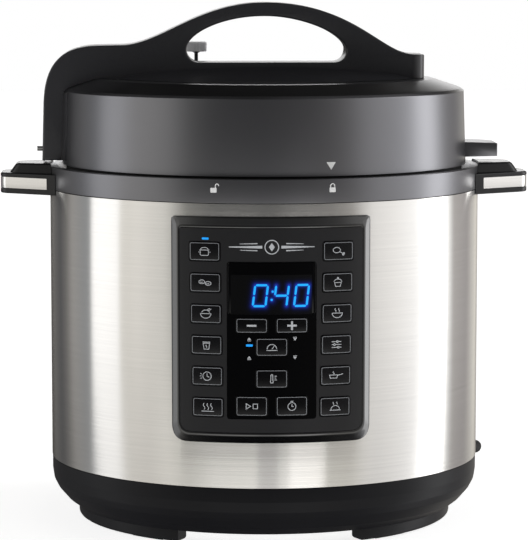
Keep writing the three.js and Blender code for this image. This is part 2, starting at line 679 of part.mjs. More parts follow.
function strainRelief() {
  const sleeve = taperedTube(curveThrough(CORD_EXIT), (t) => 5.2 - 0.7 * t, 12, 10);
  const throughWall = (radius, from, to) => {
    const pin = new THREE.CylinderGeometry(radius, radius, to - from, 12);
    return turnedTo(pin.translate(0, -(from + to) / 2, CORD_HEIGHT), CORD_ANGLE);
  };
  return join(sleeve, throughWall(4.2, 135, 147), throughWall(6.2, 134, 136.5));
}
add("cord_strain_relief", strainRelief(), MATERIALS.rubber);
add(
  "mains_cord",
  join(
    new THREE.ExtrudeGeometry(roundSection(CORD_R, 8), { steps: 16, extrudePath: curveThrough(CORD_ROUTE) }),
    ring(COIL.inner, COIL.outer, COIL.low, COIL.high, 32).translate(COIL.x, COIL.y, 0),
  ),
  MATERIALS.cordRubber,
);

const PLUG = { x: 11.8, y: 199.2, height: 10.3, heading: 200 }; // heading: degrees from +X, seen from above
function mainsPlug() {
  const sleeve = new THREE.CylinderGeometry(6.5, 4.6, 19, 16).rotateZ(-Math.PI / 2).translate(9.5, 0, 0);
  const bodyShape = roundedOutline([[-13, -10], [13, -10], [13, 10], [-13, 10]], [6, 6, 8, 8]);
  const body = raised(bodyShape, 18, 42).rotateX(Math.PI / 2).rotateZ(Math.PI / 2);
  const blade = (y) => block([41, y - 0.8, 1], [59, y + 0.8, 7.3]);
  const earth = new THREE.CylinderGeometry(2.4, 2.4, 21, 12).rotateZ(-Math.PI / 2).translate(51.5, 0, -5);
  return join(sleeve, body, blade(-6.35), blade(6.35), earth)
    .rotateZ(THREE.MathUtils.degToRad(PLUG.heading))
    .translate(PLUG.x, PLUG.y, PLUG.height);
}
add("mains_plug", mainsPlug(), MATERIALS.cordRubber);

export default cooker;
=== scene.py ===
"""Looks of the electric pressure cooker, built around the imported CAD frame.

Shapes are drawn in millimetres around the cooker's own vertical axis and turned into the row frame (metres) by
to_row(). Angles on the round body are degrees from the front, positive towards +X."""

import math

import bmesh
import bpy
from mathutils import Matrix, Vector
from mathutils.geometry import tessellate_polygon


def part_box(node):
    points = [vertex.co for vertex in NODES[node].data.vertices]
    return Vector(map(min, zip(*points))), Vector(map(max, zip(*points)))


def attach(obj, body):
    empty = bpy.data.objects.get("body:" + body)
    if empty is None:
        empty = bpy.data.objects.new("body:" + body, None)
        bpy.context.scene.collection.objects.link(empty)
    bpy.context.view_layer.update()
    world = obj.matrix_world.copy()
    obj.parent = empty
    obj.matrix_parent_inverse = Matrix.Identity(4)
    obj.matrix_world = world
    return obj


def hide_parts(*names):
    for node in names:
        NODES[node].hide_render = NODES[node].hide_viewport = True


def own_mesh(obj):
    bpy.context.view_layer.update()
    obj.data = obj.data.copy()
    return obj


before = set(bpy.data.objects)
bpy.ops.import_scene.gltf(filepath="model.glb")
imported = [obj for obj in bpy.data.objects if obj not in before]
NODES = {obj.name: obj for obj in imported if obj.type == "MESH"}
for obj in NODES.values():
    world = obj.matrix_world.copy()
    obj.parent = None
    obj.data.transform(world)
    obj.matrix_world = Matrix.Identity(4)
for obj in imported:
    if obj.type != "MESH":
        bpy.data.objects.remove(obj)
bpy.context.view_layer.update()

MM = 0.001
shell_low, shell_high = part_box("outer_shell")
AXIS_Y = (shell_low.y + shell_high.y) / 2  # the round body's axis, in metres


def to_row(point):
    x, y, z = point
    return Vector((x * MM, y * MM + AXIS_Y, z * MM))


def linked(name, data):
    obj = bpy.data.objects.new(name, data)
    bpy.context.scene.collection.objects.link(obj)
    return obj


# ---------------------------------------------------------------- camera
CAMERA = {"lens": 189.33, "sensor": 36, "height": 164.5, "distance": 1925.3, "pitch": 6.31, "azimuth": -1.9}


def make_camera():
    data = bpy.data.cameras.new("camera")
    data.lens, data.sensor_width, data.sensor_fit = CAMERA["lens"], CAMERA["sensor"], "AUTO"
    data.clip_start, data.clip_end = 0.1, 50
    camera = linked("camera", data)
    pitch, turn = math.radians(CAMERA["pitch"]), math.radians(CAMERA["azimuth"])
    back = Vector((math.sin(turn) * math.cos(pitch), -math.cos(turn) * math.cos(pitch), math.sin(pitch)))
    camera.location = to_row((0, 0, CAMERA["height"])) + back * CAMERA["distance"] * MM
    camera.rotation_mode = "QUATERNION"
    camera.rotation_quaternion = (-back).to_track_quat("-Z", "Y")
    bpy.context.scene.camera = camera


make_camera()


# ---------------------------------------------------------------- 2-D outlines
def ease(t):
    t = min(max(t, 0.0), 1.0)
    return t * t * (3 - 2 * t)


def soften(points, radius=0.6, closed=True, steps=4):
    """Rounds the corners of a line of 2-D points. A point's third number is its own radius."""
    out, count = [], len(points)
    for i, point in enumerate(points):
        here = Vector(point[:2])
        bend = point[2] if len(point) > 2 else radius
        if bend == 0 or (not closed and i in (0, count - 1)):
            out.append(here)
            continue
        back, ahead = Vector(points[i - 1][:2]) - here, Vector(points[(i + 1) % count][:2]) - here
        half = max(back.angle(ahead) / 2, 0.02)
        reach = min(bend / math.tan(half), 0.49 * back.length, 0.49 * ahead.length)
        if reach < 1e-3:
            out.append(here)
            continue
        start, end = here + back.normalized() * reach, here + ahead.normalized() * reach
        for k in range(steps + 1):
            t = k / steps
            out.append(start * (1 - t) ** 2 + here * 2 * t * (1 - t) + end * t * t)
    return out


def bezier(start, c1, c2, end, steps):
    """Points of a cubic curve, without its first."""
    points = []
    for k in range(1, steps + 1):
        t = k / steps
        weights = ((1 - t) ** 3, 3 * t * (1 - t) ** 2, 3 * t * t * (1 - t), t**3)
        points.append(sum((Vector(p) * w for p, w in zip((start, c1, c2, end), weights)), Vector((0, 0))))
    return points


def box_corners(width, height, x=0.0, z=0.0):
    w, h = width / 2, height / 2
    return [(x - w, z - h), (x + w, z - h), (x + w, z + h), (x - w, z + h)]


def rounded_box(width, height, radius, x=0.0, z=0.0, steps=5):
    return soften(box_corners(width, height, x, z), radius, True, steps)


def arc(x, z, rx, rz, start, end, count=14):
    span = [math.radians(start + (end - start) * i / count) for i in range(count + 1)]
    return [(x + rx * math.cos(a), z + rz * math.sin(a)) for a in span]


def resample(outline, step):
    """The same closed outline with no stretch longer than step."""
    out = []
    for i, here in enumerate(outline):
        here, ahead = Vector(here), Vector(outline[(i + 1) % len(outline)])
        parts = max(1, math.ceil((ahead - here).length / step))
        out += [here.lerp(ahead, k / parts) for k in range(parts)]
    return out


def turning(loop):
    """Twice the area inside the loop, positive where it runs anticlockwise."""
    return sum(a[0] * b[1] - b[0] * a[1] for a, b in zip(loop, loop[1:] + loop[:1]))


def facing_in(loop, anticlockwise):
    return list(loop) if (turning(loop) > 0) == anticlockwise else list(loop)[::-1]


def mitre(before, after, least):
    """From the corner between two stretches to that of both moved left by 1. It is held to a length of 1 / least."""
    before, after = before.normalized(), after.normalized()
    left, normal = Vector((-before.y, before.x)), Vector((-before.y - after.y, before.x + after.x))
    normal = normal.normalized() if normal.length > 1e-6 else left
    return normal / max(normal.dot(left), least)


def inset(loop, distance):
    """The loop moved to its left, which is into the material for an anticlockwise outline or a clockwise hole."""
    if abs(distance) < 1e-9:
        return [Vector(p) for p in loop]
    out = []
    for i, here in enumerate(loop):
        here = Vector(here)
        before, after = here - Vector(loop[i - 1]), Vector(loop[(i + 1) % len(loop)]) - here
        out.append(here + mitre(before, after, 0.35) * distance)
    return out


def edge_levels(low, high, edge, steps=4, low_edge=None):
    """[inset, height] pairs from low to high with a quarter round at each end."""
    low_edge = edge if low_edge is None else low_edge
    quarter = [math.pi / 2 * k / steps for k in range(steps + 1)]
    first = [(low_edge * (1 - math.sin(a)),
              low + low_edge * (1 - math.cos(a))) for a in quarter] if low_edge else [(0, low)]
    last = [(edge * (1 - math.cos(a)), high - edge * (1 - math.sin(a))) for a in quarter] if edge else [(0, high)]
    return first + last


# ---------------------------------------------------------------- meshes
def mesh_object(name, verts, faces, placed=to_row):
    """A mesh object with clean outward faces; verts are in millimetres around the cooker's axis."""
    mesh = bpy.data.meshes.new(name)
    mesh.from_pydata([placed(v) for v in verts], [], faces)
    tidy = bmesh.new()
    tidy.from_mesh(mesh)
    bmesh.ops.remove_doubles(tidy, verts=tidy.verts, dist=2e-7)
    bmesh.ops.recalc_face_normals(tidy, faces=tidy.faces)
    tidy.to_mesh(mesh)
    tidy.free()
    return linked(name, mesh)


def walls(low, high):
    """Faces between two rings of vertex numbers."""
    ahead = [(i + 1) % len(low) for i in range(len(low))]
    return [[low[i], low[j], high[j], high[i]] for i, j in enumerate(ahead)]


def lathe(name, profile, segments=192, at=(0, 0), ripple=None):
    """The profile of (radius, height) points turned about a vertical axis.

    It closes on itself unless it starts and ends on the axis. ripple(radius, height, angle) is added to the radius."""
    verts, faces, rings = [], [], []
    for r, z in profile:
        if r < 1e-6:
            rings.append([len(verts)] * segments)
            verts.append((at[0], at[1], z))
            continue
        rings.append(list(range(len(verts), len(verts) + segments)))
        for i in range(segments):
            a = 2 * math.pi * i / segments
            radius = r + (ripple(r, z, a) if ripple else 0)
            verts.append((at[0] + radius * math.sin(a), at[1] - radius * math.cos(a), z))
    pairs = list(zip(rings, rings[1:]))
    if profile[0][0] > 1e-6:
        pairs.append((rings[-1], rings[0]))
    for lower, upper in pairs:
        for corners in walls(lower, upper):
            face = [c for k, c in enumerate(corners) if c != corners[k - 1]]
            if len(set(face)) > 2:
                faces.append(face)
    return mesh_object(name, verts, faces)


def plan(a, b, h):
    """Drawn from above and raised upwards."""
    return (a, b, h)


def front(a, b, h):
    """Drawn from the front and raised along Y, or outwards where it is wrapped round the body."""
    return (a, h, b)


def extruded(name, loops, levels, frame_of=plan, wrap=None):
    """Outlines (the first is the outside, the rest are holes) raised through [inset, height] levels and capped."""
    loops = [facing_in(loop, i == 0) for i, loop in enumerate(loops)]
    verts, faces, shells = [], [], []
    for distance, height in levels:
        shell = []
        for loop in loops:
            moved = inset(loop, distance)
            shell.append(list(range(len(verts), len(verts) + len(moved))))
            verts += [frame_of(p[0], p[1], height) for p in moved]
        shells.append((shell, [[Vector((*p, 0)) for p in inset(loop, distance)] for loop in loops]))
    for (low, _), (high, _) in zip(shells, shells[1:]):
        for a, b in zip(low, high):
            faces += walls(a, b)
    for shell, flat in (shells[0], shells[-1]):
        index = [i for loop in shell for i in loop]
        if len(shell) == 1:
            faces.append(index)
        else:
            faces += [[index[i] for i in triangle] for triangle in tessellate_polygon(flat)]
    return wrapped(name, verts, faces, wrap) if wrap else mesh_object(name, verts, faces)


def loft(name, rings):
    """Rings of the same number of 3-D points joined into a closed skin."""
    count, faces = len(rings[0]), []
    numbers = [range(k * count, (k + 1) * count) for k in range(len(rings))]
    for low, high in zip(numbers, numbers[1:]):
        faces += walls(low, high)
    return mesh_object(name, [p for ring in rings for p in ring], faces + [list(numbers[0]), list(numbers[-1])])


def wrapped(name, verts, faces, radius_at):
    """A flat mesh of (arc length, standing out, height) points bent round the body at radius_at(height)."""
    flat = bmesh.new()
    made = [flat.verts.new(v) for v in verts]
    for face in faces:
        flat.faces.new([made[i] for i in face])
    reach = radius_at(0)
    low, high = min(v[0] for v in verts), max(v[0] for v in verts)
    step = reach * math.radians(1)
    for k in range(math.ceil(low / step + 1e-6), math.floor(high / step - 1e-6) + 1):
        geometry = flat.verts[:] + flat.edges[:] + flat.faces[:]
        bmesh.ops.bisect_plane(flat, geom=geometry, dist=1e-5, plane_co=(k * step, 0, 0), plane_no=(1, 0, 0))
    flat.verts.index_update()
    points = []
    for v in flat.verts:
        radius, angle = radius_at(v.co.z) + v.co.y, v.co.x / reach
        points.append((radius * math.sin(angle), -radius * math.cos(angle), v.co.z))
    corners = [[v.index for v in f.verts] for f in flat.faces]
    flat.free()
    return mesh_object(name, points, corners)


def baked(obj):
    """Applies the object's modifiers."""
    graph = bpy.context.evaluated_depsgraph_get()
    mesh = bpy.data.meshes.new_from_object(obj.evaluated_get(graph))
    obj.modifiers.clear()
    obj.data = mesh
    return obj


def combined(obj, how, *others):
    """Exact boolean of obj with each other object, which is used up."""
    for other in others:
        step = obj.modifiers.new("combine", "BOOLEAN")
        step.object, step.operation, step.solver = other, how, "EXACT"
        baked(obj)
        bpy.data.objects.remove(other)
    return obj


def cut(obj, *others):
    return combined(obj, "DIFFERENCE", *others)


def united(obj, *others):
    return combined(obj, "UNION", *others)


def gathered(name, *objs):
    """Separate closed meshes kept as one object."""
    verts, faces = [], []
    for obj in objs:
        start = len(verts)
        verts += [v.co.copy() for v in obj.data.vertices]
        faces += [[start + i for i in polygon.vertices] for polygon in obj.data.polygons]
        bpy.data.objects.remove(obj)
    return mesh_object(name, verts, faces, lambda v: v)


def disc(radius, low, high, x=0.0, y=0.0, segments=48):
    return lathe("disc", [(0, low), (radius, low), (radius, high), (0, high)], segments, (x, y))


def block(low, high):
    loop = [(low[0], low[1]), (high[0], low[1]), (high[0], high[1]), (low[0], high[1])]
    return extruded("block", [loop], [(0, low[2]), (0, high[2])])


def shifted(obj, place):
    """Puts each vertex where place says, which takes and gives x, y and z in metres from the cooker's axis."""
    for v in obj.data.vertices:
        x, y, z = place(v.co.x, v.co.y - AXIS_Y, v.co.z)
        v.co = (x, y + AXIS_Y, z)
    return obj


def turned(obj, degrees, by=(0, 0, 0)):
    """Turns the mesh about the cooker's axis, anticlockwise seen from above, and then moves it, in millimetres."""
    c, s = math.cos(math.radians(degrees)), math.sin(math.radians(degrees))
    dx, dy, dz = (distance * MM for distance in by)
    return shifted(obj, lambda x, y, z: (c * x - s * y + dx, s * x + c * y + dy, z + dz))


def spot(radius, degrees):
    """The point on a circle round the body, by degrees from the front."""
    a = math.radians(degrees)
    return radius * math.sin(a), -radius * math.cos(a)


def sector(inner, outer, start, end, step=2.0):
    """Plan outline of an arc-shaped block."""
    count = max(2, math.ceil((end - start) / step))
    angles = [start + (end - start) * i / count for i in range(count + 1)]
    return [spot(outer, a) for a in angles] + [spot(inner, a) for a in reversed(angles)]


# ---------------------------------------------------------------- materials
def node(tree, kind, settings=None, **inputs):
    """A new shader node. Inputs are given as i0, i1, ... by number or by their names."""
    made = tree.nodes.new("ShaderNode" + kind)
    for key, value in (settings or {}).items():
        setattr(made, key, value)
    for key, value in inputs.items():
        socket = made.inputs[int(key[1:]) if key[0] == "i" and key[1:].isdigit() else key.replace("_", " ")]
        if isinstance(value, bpy.types.NodeSocket):
            tree.links.new(value, socket)
        else:
            socket.default_value = value
    return made


def calc(tree, operation, a, b=0.0):
    return node(tree, "Math", {"operation": operation}, i0=a, i1=b).outputs[0]


def vector_calc(tree, operation, a, b):
    return node(tree, "VectorMath", {"operation": operation}, i0=a, i1=b).outputs[0]


def noise(tree, place, scale, stretch=(1, 1, 1), detail=3.0, roughness=0.55):
    scaled = node(tree, "Mapping", i0=place, Scale=stretch).outputs[0]
    settings = {"Scale": scale, "Detail": detail, "Roughness": roughness}
    return node(tree, "TexNoise", Vector=scaled, **settings).outputs[0]


def between(tree, factor, low, high):
    """Maps the middle half of a 0 to 1 value, where noise mostly lies, to low to high."""
    return node(tree, "MapRange", i0=factor, i1=0.25, i2=0.75, i3=low, i4=high).outputs[0]


def tinted(tree, factor, colour, spread):
    """The colour, darker or paler by its spread with the middle half of a 0 to 1 value."""
    ramp = node(tree, "ValToRGB")
    darkest, palest = ramp.color_ramp.elements
    darkest.position, palest.position = 0.25, 0.75
    darkest.color = [max(c * (1 - spread), 0) for c in colour] + [1]
    palest.color = [min(c * (1 + spread), 1) for c in colour] + [1]
    tree.links.new(factor, ramp.inputs[0])
    return ramp.outputs[0]


LOOKS = {}
CLOUD = 14  # scale of the broad noise in every look


def insides(material):
    """A material's tree, its main shader, and the place on the object."""
    tree = material.node_tree
    return tree, tree.nodes["Principled BSDF"], node(tree, "TexCoord").outputs["Object"]


def surface(name, colour, roughness, metallic=0.0, spread=0.12, grain=1500, relief=0.00002, stretch=(1, 1, 1),
            uneven=0.06, turned_on_lathe=False, anisotropy=0.0, **sockets):
    """Adds a look: colour drifts with a broad noise, roughness and relief follow a fine one."""
    material = bpy.data.materials.new(name)
    material.use_nodes = True
    LOOKS[name] = material
    tree, shader, place = insides(material)
    place_fine = place
    if turned_on_lathe:  # fine rings round the cooker's axis
        from_axis = vector_calc(tree, "SUBTRACT", place, (0, AXIS_Y, 0))
        split = node(tree, "SeparateXYZ", i0=from_axis)
        level = node(tree, "CombineXYZ", i0=split.outputs[0], i1=split.outputs[1]).outputs[0]
        radius = node(tree, "VectorMath", {"operation": "LENGTH"}, i0=level).outputs["Value"]
        place_fine = node(tree, "CombineXYZ", i0=radius, i2=split.outputs[2]).outputs[0]
    broad = noise(tree, place, CLOUD, detail=2.0)
    fine = noise(tree, place_fine, grain, stretch, 2.0, 0.6)
    tree.links.new(tinted(tree, broad, colour, spread), shader.inputs["Base Color"])
    tree.links.new(between(tree, fine, max(roughness - uneven, 0.02), roughness + uneven), shader.inputs["Roughness"])
    shader.inputs["Metallic"].default_value = metallic
    if relief:
        bump = node(tree, "Bump", Strength=1.0, Distance=relief, Height=fine)
        tree.links.new(bump.outputs[0], shader.inputs["Normal"])
    if anisotropy:
        shader.inputs["Anisotropic"].default_value = anisotropy
        shader.inputs["Anisotropic Rotation"].default_value = 0.25
        tangent = node(tree, "Tangent", {"direction_type": "RADIAL", "axis": "Z"})
        tree.links.new(tangent.outputs[0], shader.inputs["Tangent"])
    for key, value in sockets.items():
        shader.inputs[key.replace("_", " ")].default_value = value
    return material


def brushed_steel():
    """Horizontal brushing: long fine streaks that scatter reflections upright only."""
    tree, shader, place = insides(surface("shell_steel", (0.79, 0.775, 0.75), 0.21, 1.0, 0.02, grain=40,
                                          stretch=(0.2, 0.2, 90), relief=0, uneven=0.02, anisotropy=1.0))
    streak = noise(tree, place, 2, (1, 1, 3600), 4.0, 0.8)
    tilt = between(tree, streak, -0.11, 0.11)
    lean = node(tree, "CombineXYZ", i2=tilt).outputs[0]
    normal = node(tree, "NewGeometry").outputs["Normal"]
    tilted = vector_calc(tree, "ADD", normal, lean)
    unit = node(tree, "VectorMath", {"operation": "NORMALIZE"}, i0=tilted).outputs[0]
    tree.links.new(unit, shader.inputs["Normal"])
    grey = noise(tree, place, 4, (1, 1, 420), 5.0, 0.75)
    tree.links.new(tinted(tree, grey, (0.8, 0.785, 0.76), 0.05), shader.inputs["Base Color"])


def glowing(name, colour, strength):
    surface(name, [c * 0.4 for c in colour], 0.3, grain=3000, relief=0.000002, Emission_Color=(*colour, 1),
            Emission_Strength=strength)


def circuit_board():
    """Green lacquer with lighter copper tracks under it."""
    tree, shader, place = insides(surface("circuit_board", (0.02, 0.12, 0.05), 0.35, grain=900, relief=0.00001))
    mapping = node(tree, "Mapping", i0=place, Rotation=(math.pi / 2, 0, 0))
    brick = node(tree, "TexBrick", Vector=mapping.outputs[0], Scale=90.0, Color1=(0.02, 0.11, 0.045, 1),
                 Color2=(0.03, 0.16, 0.06, 1), Mortar=(0.07, 0.26, 0.1, 1), Mortar_Size=0.03)
    tree.links.new(brick.outputs[0], shader.inputs["Base Color"])


def speckled_coating():
    """Dark non-stick coat with fine pale specks."""
    dark = (0.045, 0.045, 0.048)
    tree, shader, place = insides(surface("pot_coating", dark, 0.42, 0.2, grain=1800, relief=0.00001, Coat_Weight=0.15))
    cells = node(tree, "TexVoronoi", Vector=place, Scale=420.0)
    specks = calc(tree, "LESS_THAN", cells.outputs["Distance"], 0.16)
    ground = tinted(tree, noise(tree, place, 30), dark, 0.15)
    mixed = node(tree, "Mix", {"data_type": "RGBA"}, i0=specks, i6=ground, i7=(0.2, 0.2, 0.2, 1)).outputs[2]
    tree.links.new(mixed, shader.inputs["Base Color"])


brushed_steel()
surface("base_plastic", (0.0095, 0.0095, 0.011), 0.38, grain=2600, relief=0.000008, Specular_IOR_Level=0.12)
surface("grey_satin", (0.21, 0.21, 0.223), 0.3, 0.96, 0.04, grain=4000, relief=0.000002, uneven=0.03)
surface("handle_plastic", (0.031, 0.031, 0.035), 0.3, grain=3200, relief=0.000004, spread=0.05)
surface("handle_dark", (0.0075, 0.0075, 0.0085), 0.24, grain=3200, relief=0.000004, spread=0.05,
        Specular_IOR_Level=0.35)
surface("gloss_black", (0.012, 0.012, 0.0135), 0.28, grain=900, relief=0, uneven=0.004, spread=0.03)
surface("gloss_rim", (0.0025, 0.0025, 0.003), 0.13, grain=900, relief=0, uneven=0.02, spread=0.04,
        Specular_IOR_Level=1.0, IOR=1.58)
surface("gloss_inlay", (0.0008, 0.0008, 0.0011), 0.08, grain=700, relief=0.000001, uneven=0.03, Specular_IOR_Level=0.2)
surface("key_plastic", (0.0045, 0.0045, 0.0055), 0.24, grain=2200, relief=0.000004, Specular_IOR_Level=0.3)
surface("key_gloss", (0.003, 0.003, 0.0035), 0.18, grain=2200, relief=0.000002, Specular_IOR_Level=0.22)
surface("display_lens", (0.0006, 0.0006, 0.001), 0.06, grain=600, relief=0.0000005, uneven=0.02, Specular_IOR_Level=0.2)
surface("cup_plastic", (0.3, 0.31, 0.33), 0.16, grain=700, relief=0.000003, Transmission_Weight=0.85, IOR=1.49)
surface("inner_steel", (0.62, 0.61, 0.6), 0.3, 1.0, 0.03, grain=2500, relief=0.000004, turned_on_lathe=True)
surface("small_steel", (0.7, 0.7, 0.69), 0.22, 1.0, 0.05, grain=2600, relief=0.000003)
speckled_coating()
surface("aluminium", (0.66, 0.66, 0.67), 0.38, 1.0, 0.05, grain=1400, relief=0.00001, turned_on_lathe=True)
surface("valve_metal", (0.88, 0.88, 0.9), 0.36, 0.1, 0.05, grain=2600, relief=0.000003)
surface("rubber", (0.014, 0.014, 0.014), 0.75, grain=2400, relief=0.00003)
surface("cord_rubber", (0.011, 0.011, 0.012), 0.45, grain=1800, relief=0.000012)
surface("silicone", (0.72, 0.71, 0.68), 0.45, grain=900, relief=0.000008, Subsurface_Weight=0.2, Subsurface_Scale=0.003)
circuit_board()
surface("ink_grey", (0.6, 0.62, 0.65), 0.5, grain=3000, relief=0.000002)
surface("ink_line", (0.26, 0.27, 0.29), 0.5, grain=3000, relief=0.000002)
surface("ink_white", (0.96, 0.96, 0.95), 0.5, grain=3000, relief=0.000002)
glowing("light_digits", (0.004, 0.3, 0.75), 1.25)
glowing("light_led", (0.006, 0.26, 0.72), 1.15)
surface("cord_tie", (0.03, 0.03, 0.032), 0.7, grain=2600, relief=0.00004)
surface("blade_brass", (0.75, 0.68, 0.5), 0.25, 1.0, 0.04, grain=2200, relief=0.000003)


def finished(obj, body, slot_name, *nodes, look=None, sharp=32):
    """Shades the piece, gives it its material (the look, or else the one named by slot_name), and lets it ride on its
    body in place of CAD nodes.
    """
    mesh = obj.data
    mesh.polygons.foreach_set("use_smooth", [True] * len(mesh.polygons))
    mesh.set_sharp_from_angle(angle=math.radians(sharp))
    mesh.materials.clear()
    mesh.materials.append(LOOKS[look or slot_name])
    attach(obj, body)
    if nodes:
        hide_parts(*nodes)
    return obj


# ---------------------------------------------------------------- mains cord, its relief, plug and tie
CORD_R = 3.5
CORD_LENGTH = 0.914
RELIEF_PATH = [(122.6, 76.6, 27.5), (131, 81.9, 27.3), (139.3, 87.1, 27), (147, 92.9, 26.3), (153, 100.6, 25.2),
               (156.4, 110.2, 23.6), (157.4, 119.8, 21.6)]
CORD_EXIT = RELIEF_PATH[-1]
CORD_ROUTE = [(157.1, 126.5, 19.9), (155.7, 134, 17.4), (153, 142, 14), (149.3, 150, 10.4), (144.8, 158, 7.2),
              (140, 166, 5), (134.9, 173.8, 4), (129, 181.2, 3.8), (122.8, 187.6, 3.8), (116.4, 194, 3.8),
              (108, 202.4, 3.8)]
COIL = {"at": (62, 184, 0), "radius": 45.5, "low": 3.8, "over": 10.9, "start": 45, "leave": 1190, "tied": 312}
PLUG = {"at": (11.8, 199.2, 10.3), "heading": 200}


def catmull(points, per_span=6):
    """A smooth line through 3-D points."""
    points = [Vector(p) for p in points]
    points = [2 * points[0] - points[1]] + points + [2 * points[-1] - points[-2]]
    out = []
    for i in range(1, len(points) - 2):
        a, b, c, d = points[i - 1 : i + 3]
        for k in range(per_span):
            t = k / per_span
            bend = (2 * a - 5 * b + 4 * c - d) * t * t + (3 * b - a - 3 * c + d) * t**3
            out.append(0.5 * (2 * b + (c - a) * t + bend))
    return out + [points[-2]]


def measured(path):
    return sum((b - a).length for a, b in zip(path, path[1:]))


def cord_path(squeeze):
    """The centreline: from the relief down to the table, three flat turns inwards, and out over them to the plug."""
    turns = []
    for angle in range(COIL["start"], COIL["leave"], 10):
        # each turn keeps its radius for most of the way and moves in by one cord before it meets itself again
        lap, part = divmod((angle - COIL["start"]) / 360, 1)
        shift = lap + ease((part - 0.35) / 0.6)
        radius = COIL["radius"] - squeeze - 2 * CORD_R * min(shift, 2.0)
        lift = ease((angle - (COIL["leave"] - 85)) / 75)
        a = math.radians(angle)
        height = COIL["low"] + (COIL["over"] - COIL["low"]) * lift
        turns.append(Vector(COIL["at"]) + Vector((radius * math.cos(a), radius * math.sin(a), height)))
    a = math.radians(PLUG["heading"])
    ahead, end = Vector((math.cos(a), math.sin(a), 0)), Vector(PLUG["at"])
    tail = [end - ahead * 12, end - ahead * 4, end + ahead * 3]
    return catmull([CORD_EXIT] + CORD_ROUTE + turns + tail, 5)


def cord_curve(name, path, radius):
    data = bpy.data.curves.new(name, "CURVE")
    data.dimensions, data.bevel_depth, data.bevel_resolution, data.use_fill_caps = "3D", radius * MM, 5, True
    spline = data.splines.new("POLY")
    spline.points.add(len(path) - 1)
    for point, here in zip(spline.points, path):
        point.co = (*to_row(here), 1)
    spline.use_smooth = True
    return linked(name, data)


def tube(name, path, radius_at, sides=28):
    """A round skin along a line, with a radius that may change."""
    path = [Vector(p) for p in path]
    total, done, rings = measured(path), 0.0, []
    for i, here in enumerate(path):
        along = (path[min(i + 1, len(path) - 1)] - path[max(i - 1, 0)]).normalized()
        side = along.cross(Vector((0, 0, 1))).normalized()
        up = side.cross(along)
        done += (here - path[i - 1]).length if i else 0
        radius = radius_at(done, total)
        ring = [2 * math.pi * k / sides for k in range(sides)]
        rings.append([here + side * radius * math.cos(a) + up * radius * math.sin(a) for a in ring])
    return loft(name, rings)


def relief_radius(done, total):
    """Tapers outwards, with grooves along the part that bends."""
    body = 5.2 - 0.7 * done / total
    if done < 26 or done > total - 3:
        return body
    return body - 0.55 * (0.5 - 0.5 * math.cos((done - 26) / 3.6 * 2 * math.pi)) ** 0.5


def make_plug():
    """The moulding with its sleeve, and the blades with the pin, drawn on the cooker's axis and then laid in place."""
    grooves = [0.55 if t % 4 in (1, 2) and 2 < t < 22 else 0 for t in range(25)]
    sleeve = lathe("plug_sleeve", [(3.5, -1)] + [(4.6 + 1.9 * t / 24 - groove, 19 * t / 24) for t,
                                                 groove in enumerate(grooves)] + [(3.5, 19)], 40)
    body = extruded("plug_body", [soften([(-13, -10, 6), (13, -10, 6), (13, 10, 8), (-13, 10, 8)], 6, True, 8)],
                    edge_levels(18, 42, 2.5, 5))
    for obj in (body, sleeve):  # upright to along +X
        shifted(obj, lambda x, y, z: (z, x, y))
    middle, thick = 4.15, 1.6
    blades = []
    for side in (-6.35, 6.35):
        low, high = middle - 3.15, middle + 3.15
        hole = [(middle + 1.5 * math.cos(a * math.pi / 8), 53.5 + 1.5 * math.sin(a * math.pi / 8)) for a in range(16)]
        outline = soften([(low, 41), (high, 41), (high, 59, 2.4), (low, 59, 2.4)], 0, True, 5)
        blade = extruded("blade", [outline, hole], edge_levels(side - thick / 2, side + thick / 2, 0.25, 2))
        # drawn as (height, along) with its thickness upright; stood on edge
        blades.append(shifted(blade, lambda high, along, across: (along, across, high)))
    pin = lathe("pin", soften([(0, 41), (2.4, 41, 0), (2.4, 62, 1.6), (0, 62)], 0.2, False), 24)
    shifted(pin, lambda x, y, z: (z, y, x - 5 * MM))
    for obj in (body, sleeve, *blades, pin):
        turned(obj, PLUG["heading"], PLUG["at"])
    plug = finished(gathered("plug_moulding", body, sleeve), "base", "cord_rubber", "mains_plug")
    prongs = finished(gathered("plug_blades", *blades, pin), "base", "small_steel", look="blade_brass")
    return plug, prongs


def make_cord():
    low, high = -3.0, 6.0
    for _ in range(24):  # the coil's radius is fitted so that the cord has exactly its length
        middle = (low + high) / 2
        if measured(cord_path(middle)) * MM > CORD_LENGTH:
            low = middle
        else:
            high = middle
    path = cord_path((low + high) / 2)
    cord = cord_curve("mains_cord_whole", path, CORD_R)
    cord.data.materials.append(LOOKS["cord_rubber"])
    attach(cord, "base")
    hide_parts("mains_cord")
    relief = finished(tube("cord_relief", catmull(RELIEF_PATH, 16), relief_radius), "base", "rubber",
                      "cord_strain_relief", sharp=60)

    plug, prongs = make_plug()
    ring = soften([(27.4, 0.05, 0.2), (49.6, 0.05, 0.2), (49.6, 7.7, 3.2), (27.4, 7.7, 3.2)], 3, True, 6)
    band = extruded("cord_tie", [ring, inset(facing_in(ring, True), 0.24)], edge_levels(-3, 3, 0.1, 1), front)
    knot = extruded("knot", [rounded_box(3.4, 7.4, 1.6, 51.0, 4.6)], edge_levels(-1.6, 1.6, 1.0, 3), front)
    band = turned(gathered("cord_tie", band, knot), COIL["tied"], COIL["at"])
    tie = finished(band, "base", "rubber", look="cord_tie")


make_cord()

# ---------------------------------------------------------------- shell and collar
SHELL = {"outer": 144.0, "wall": 0.8, "low": 41.2, "high": 221.8}
CLEAR_OF_SHELL = SHELL["outer"] + 0.3


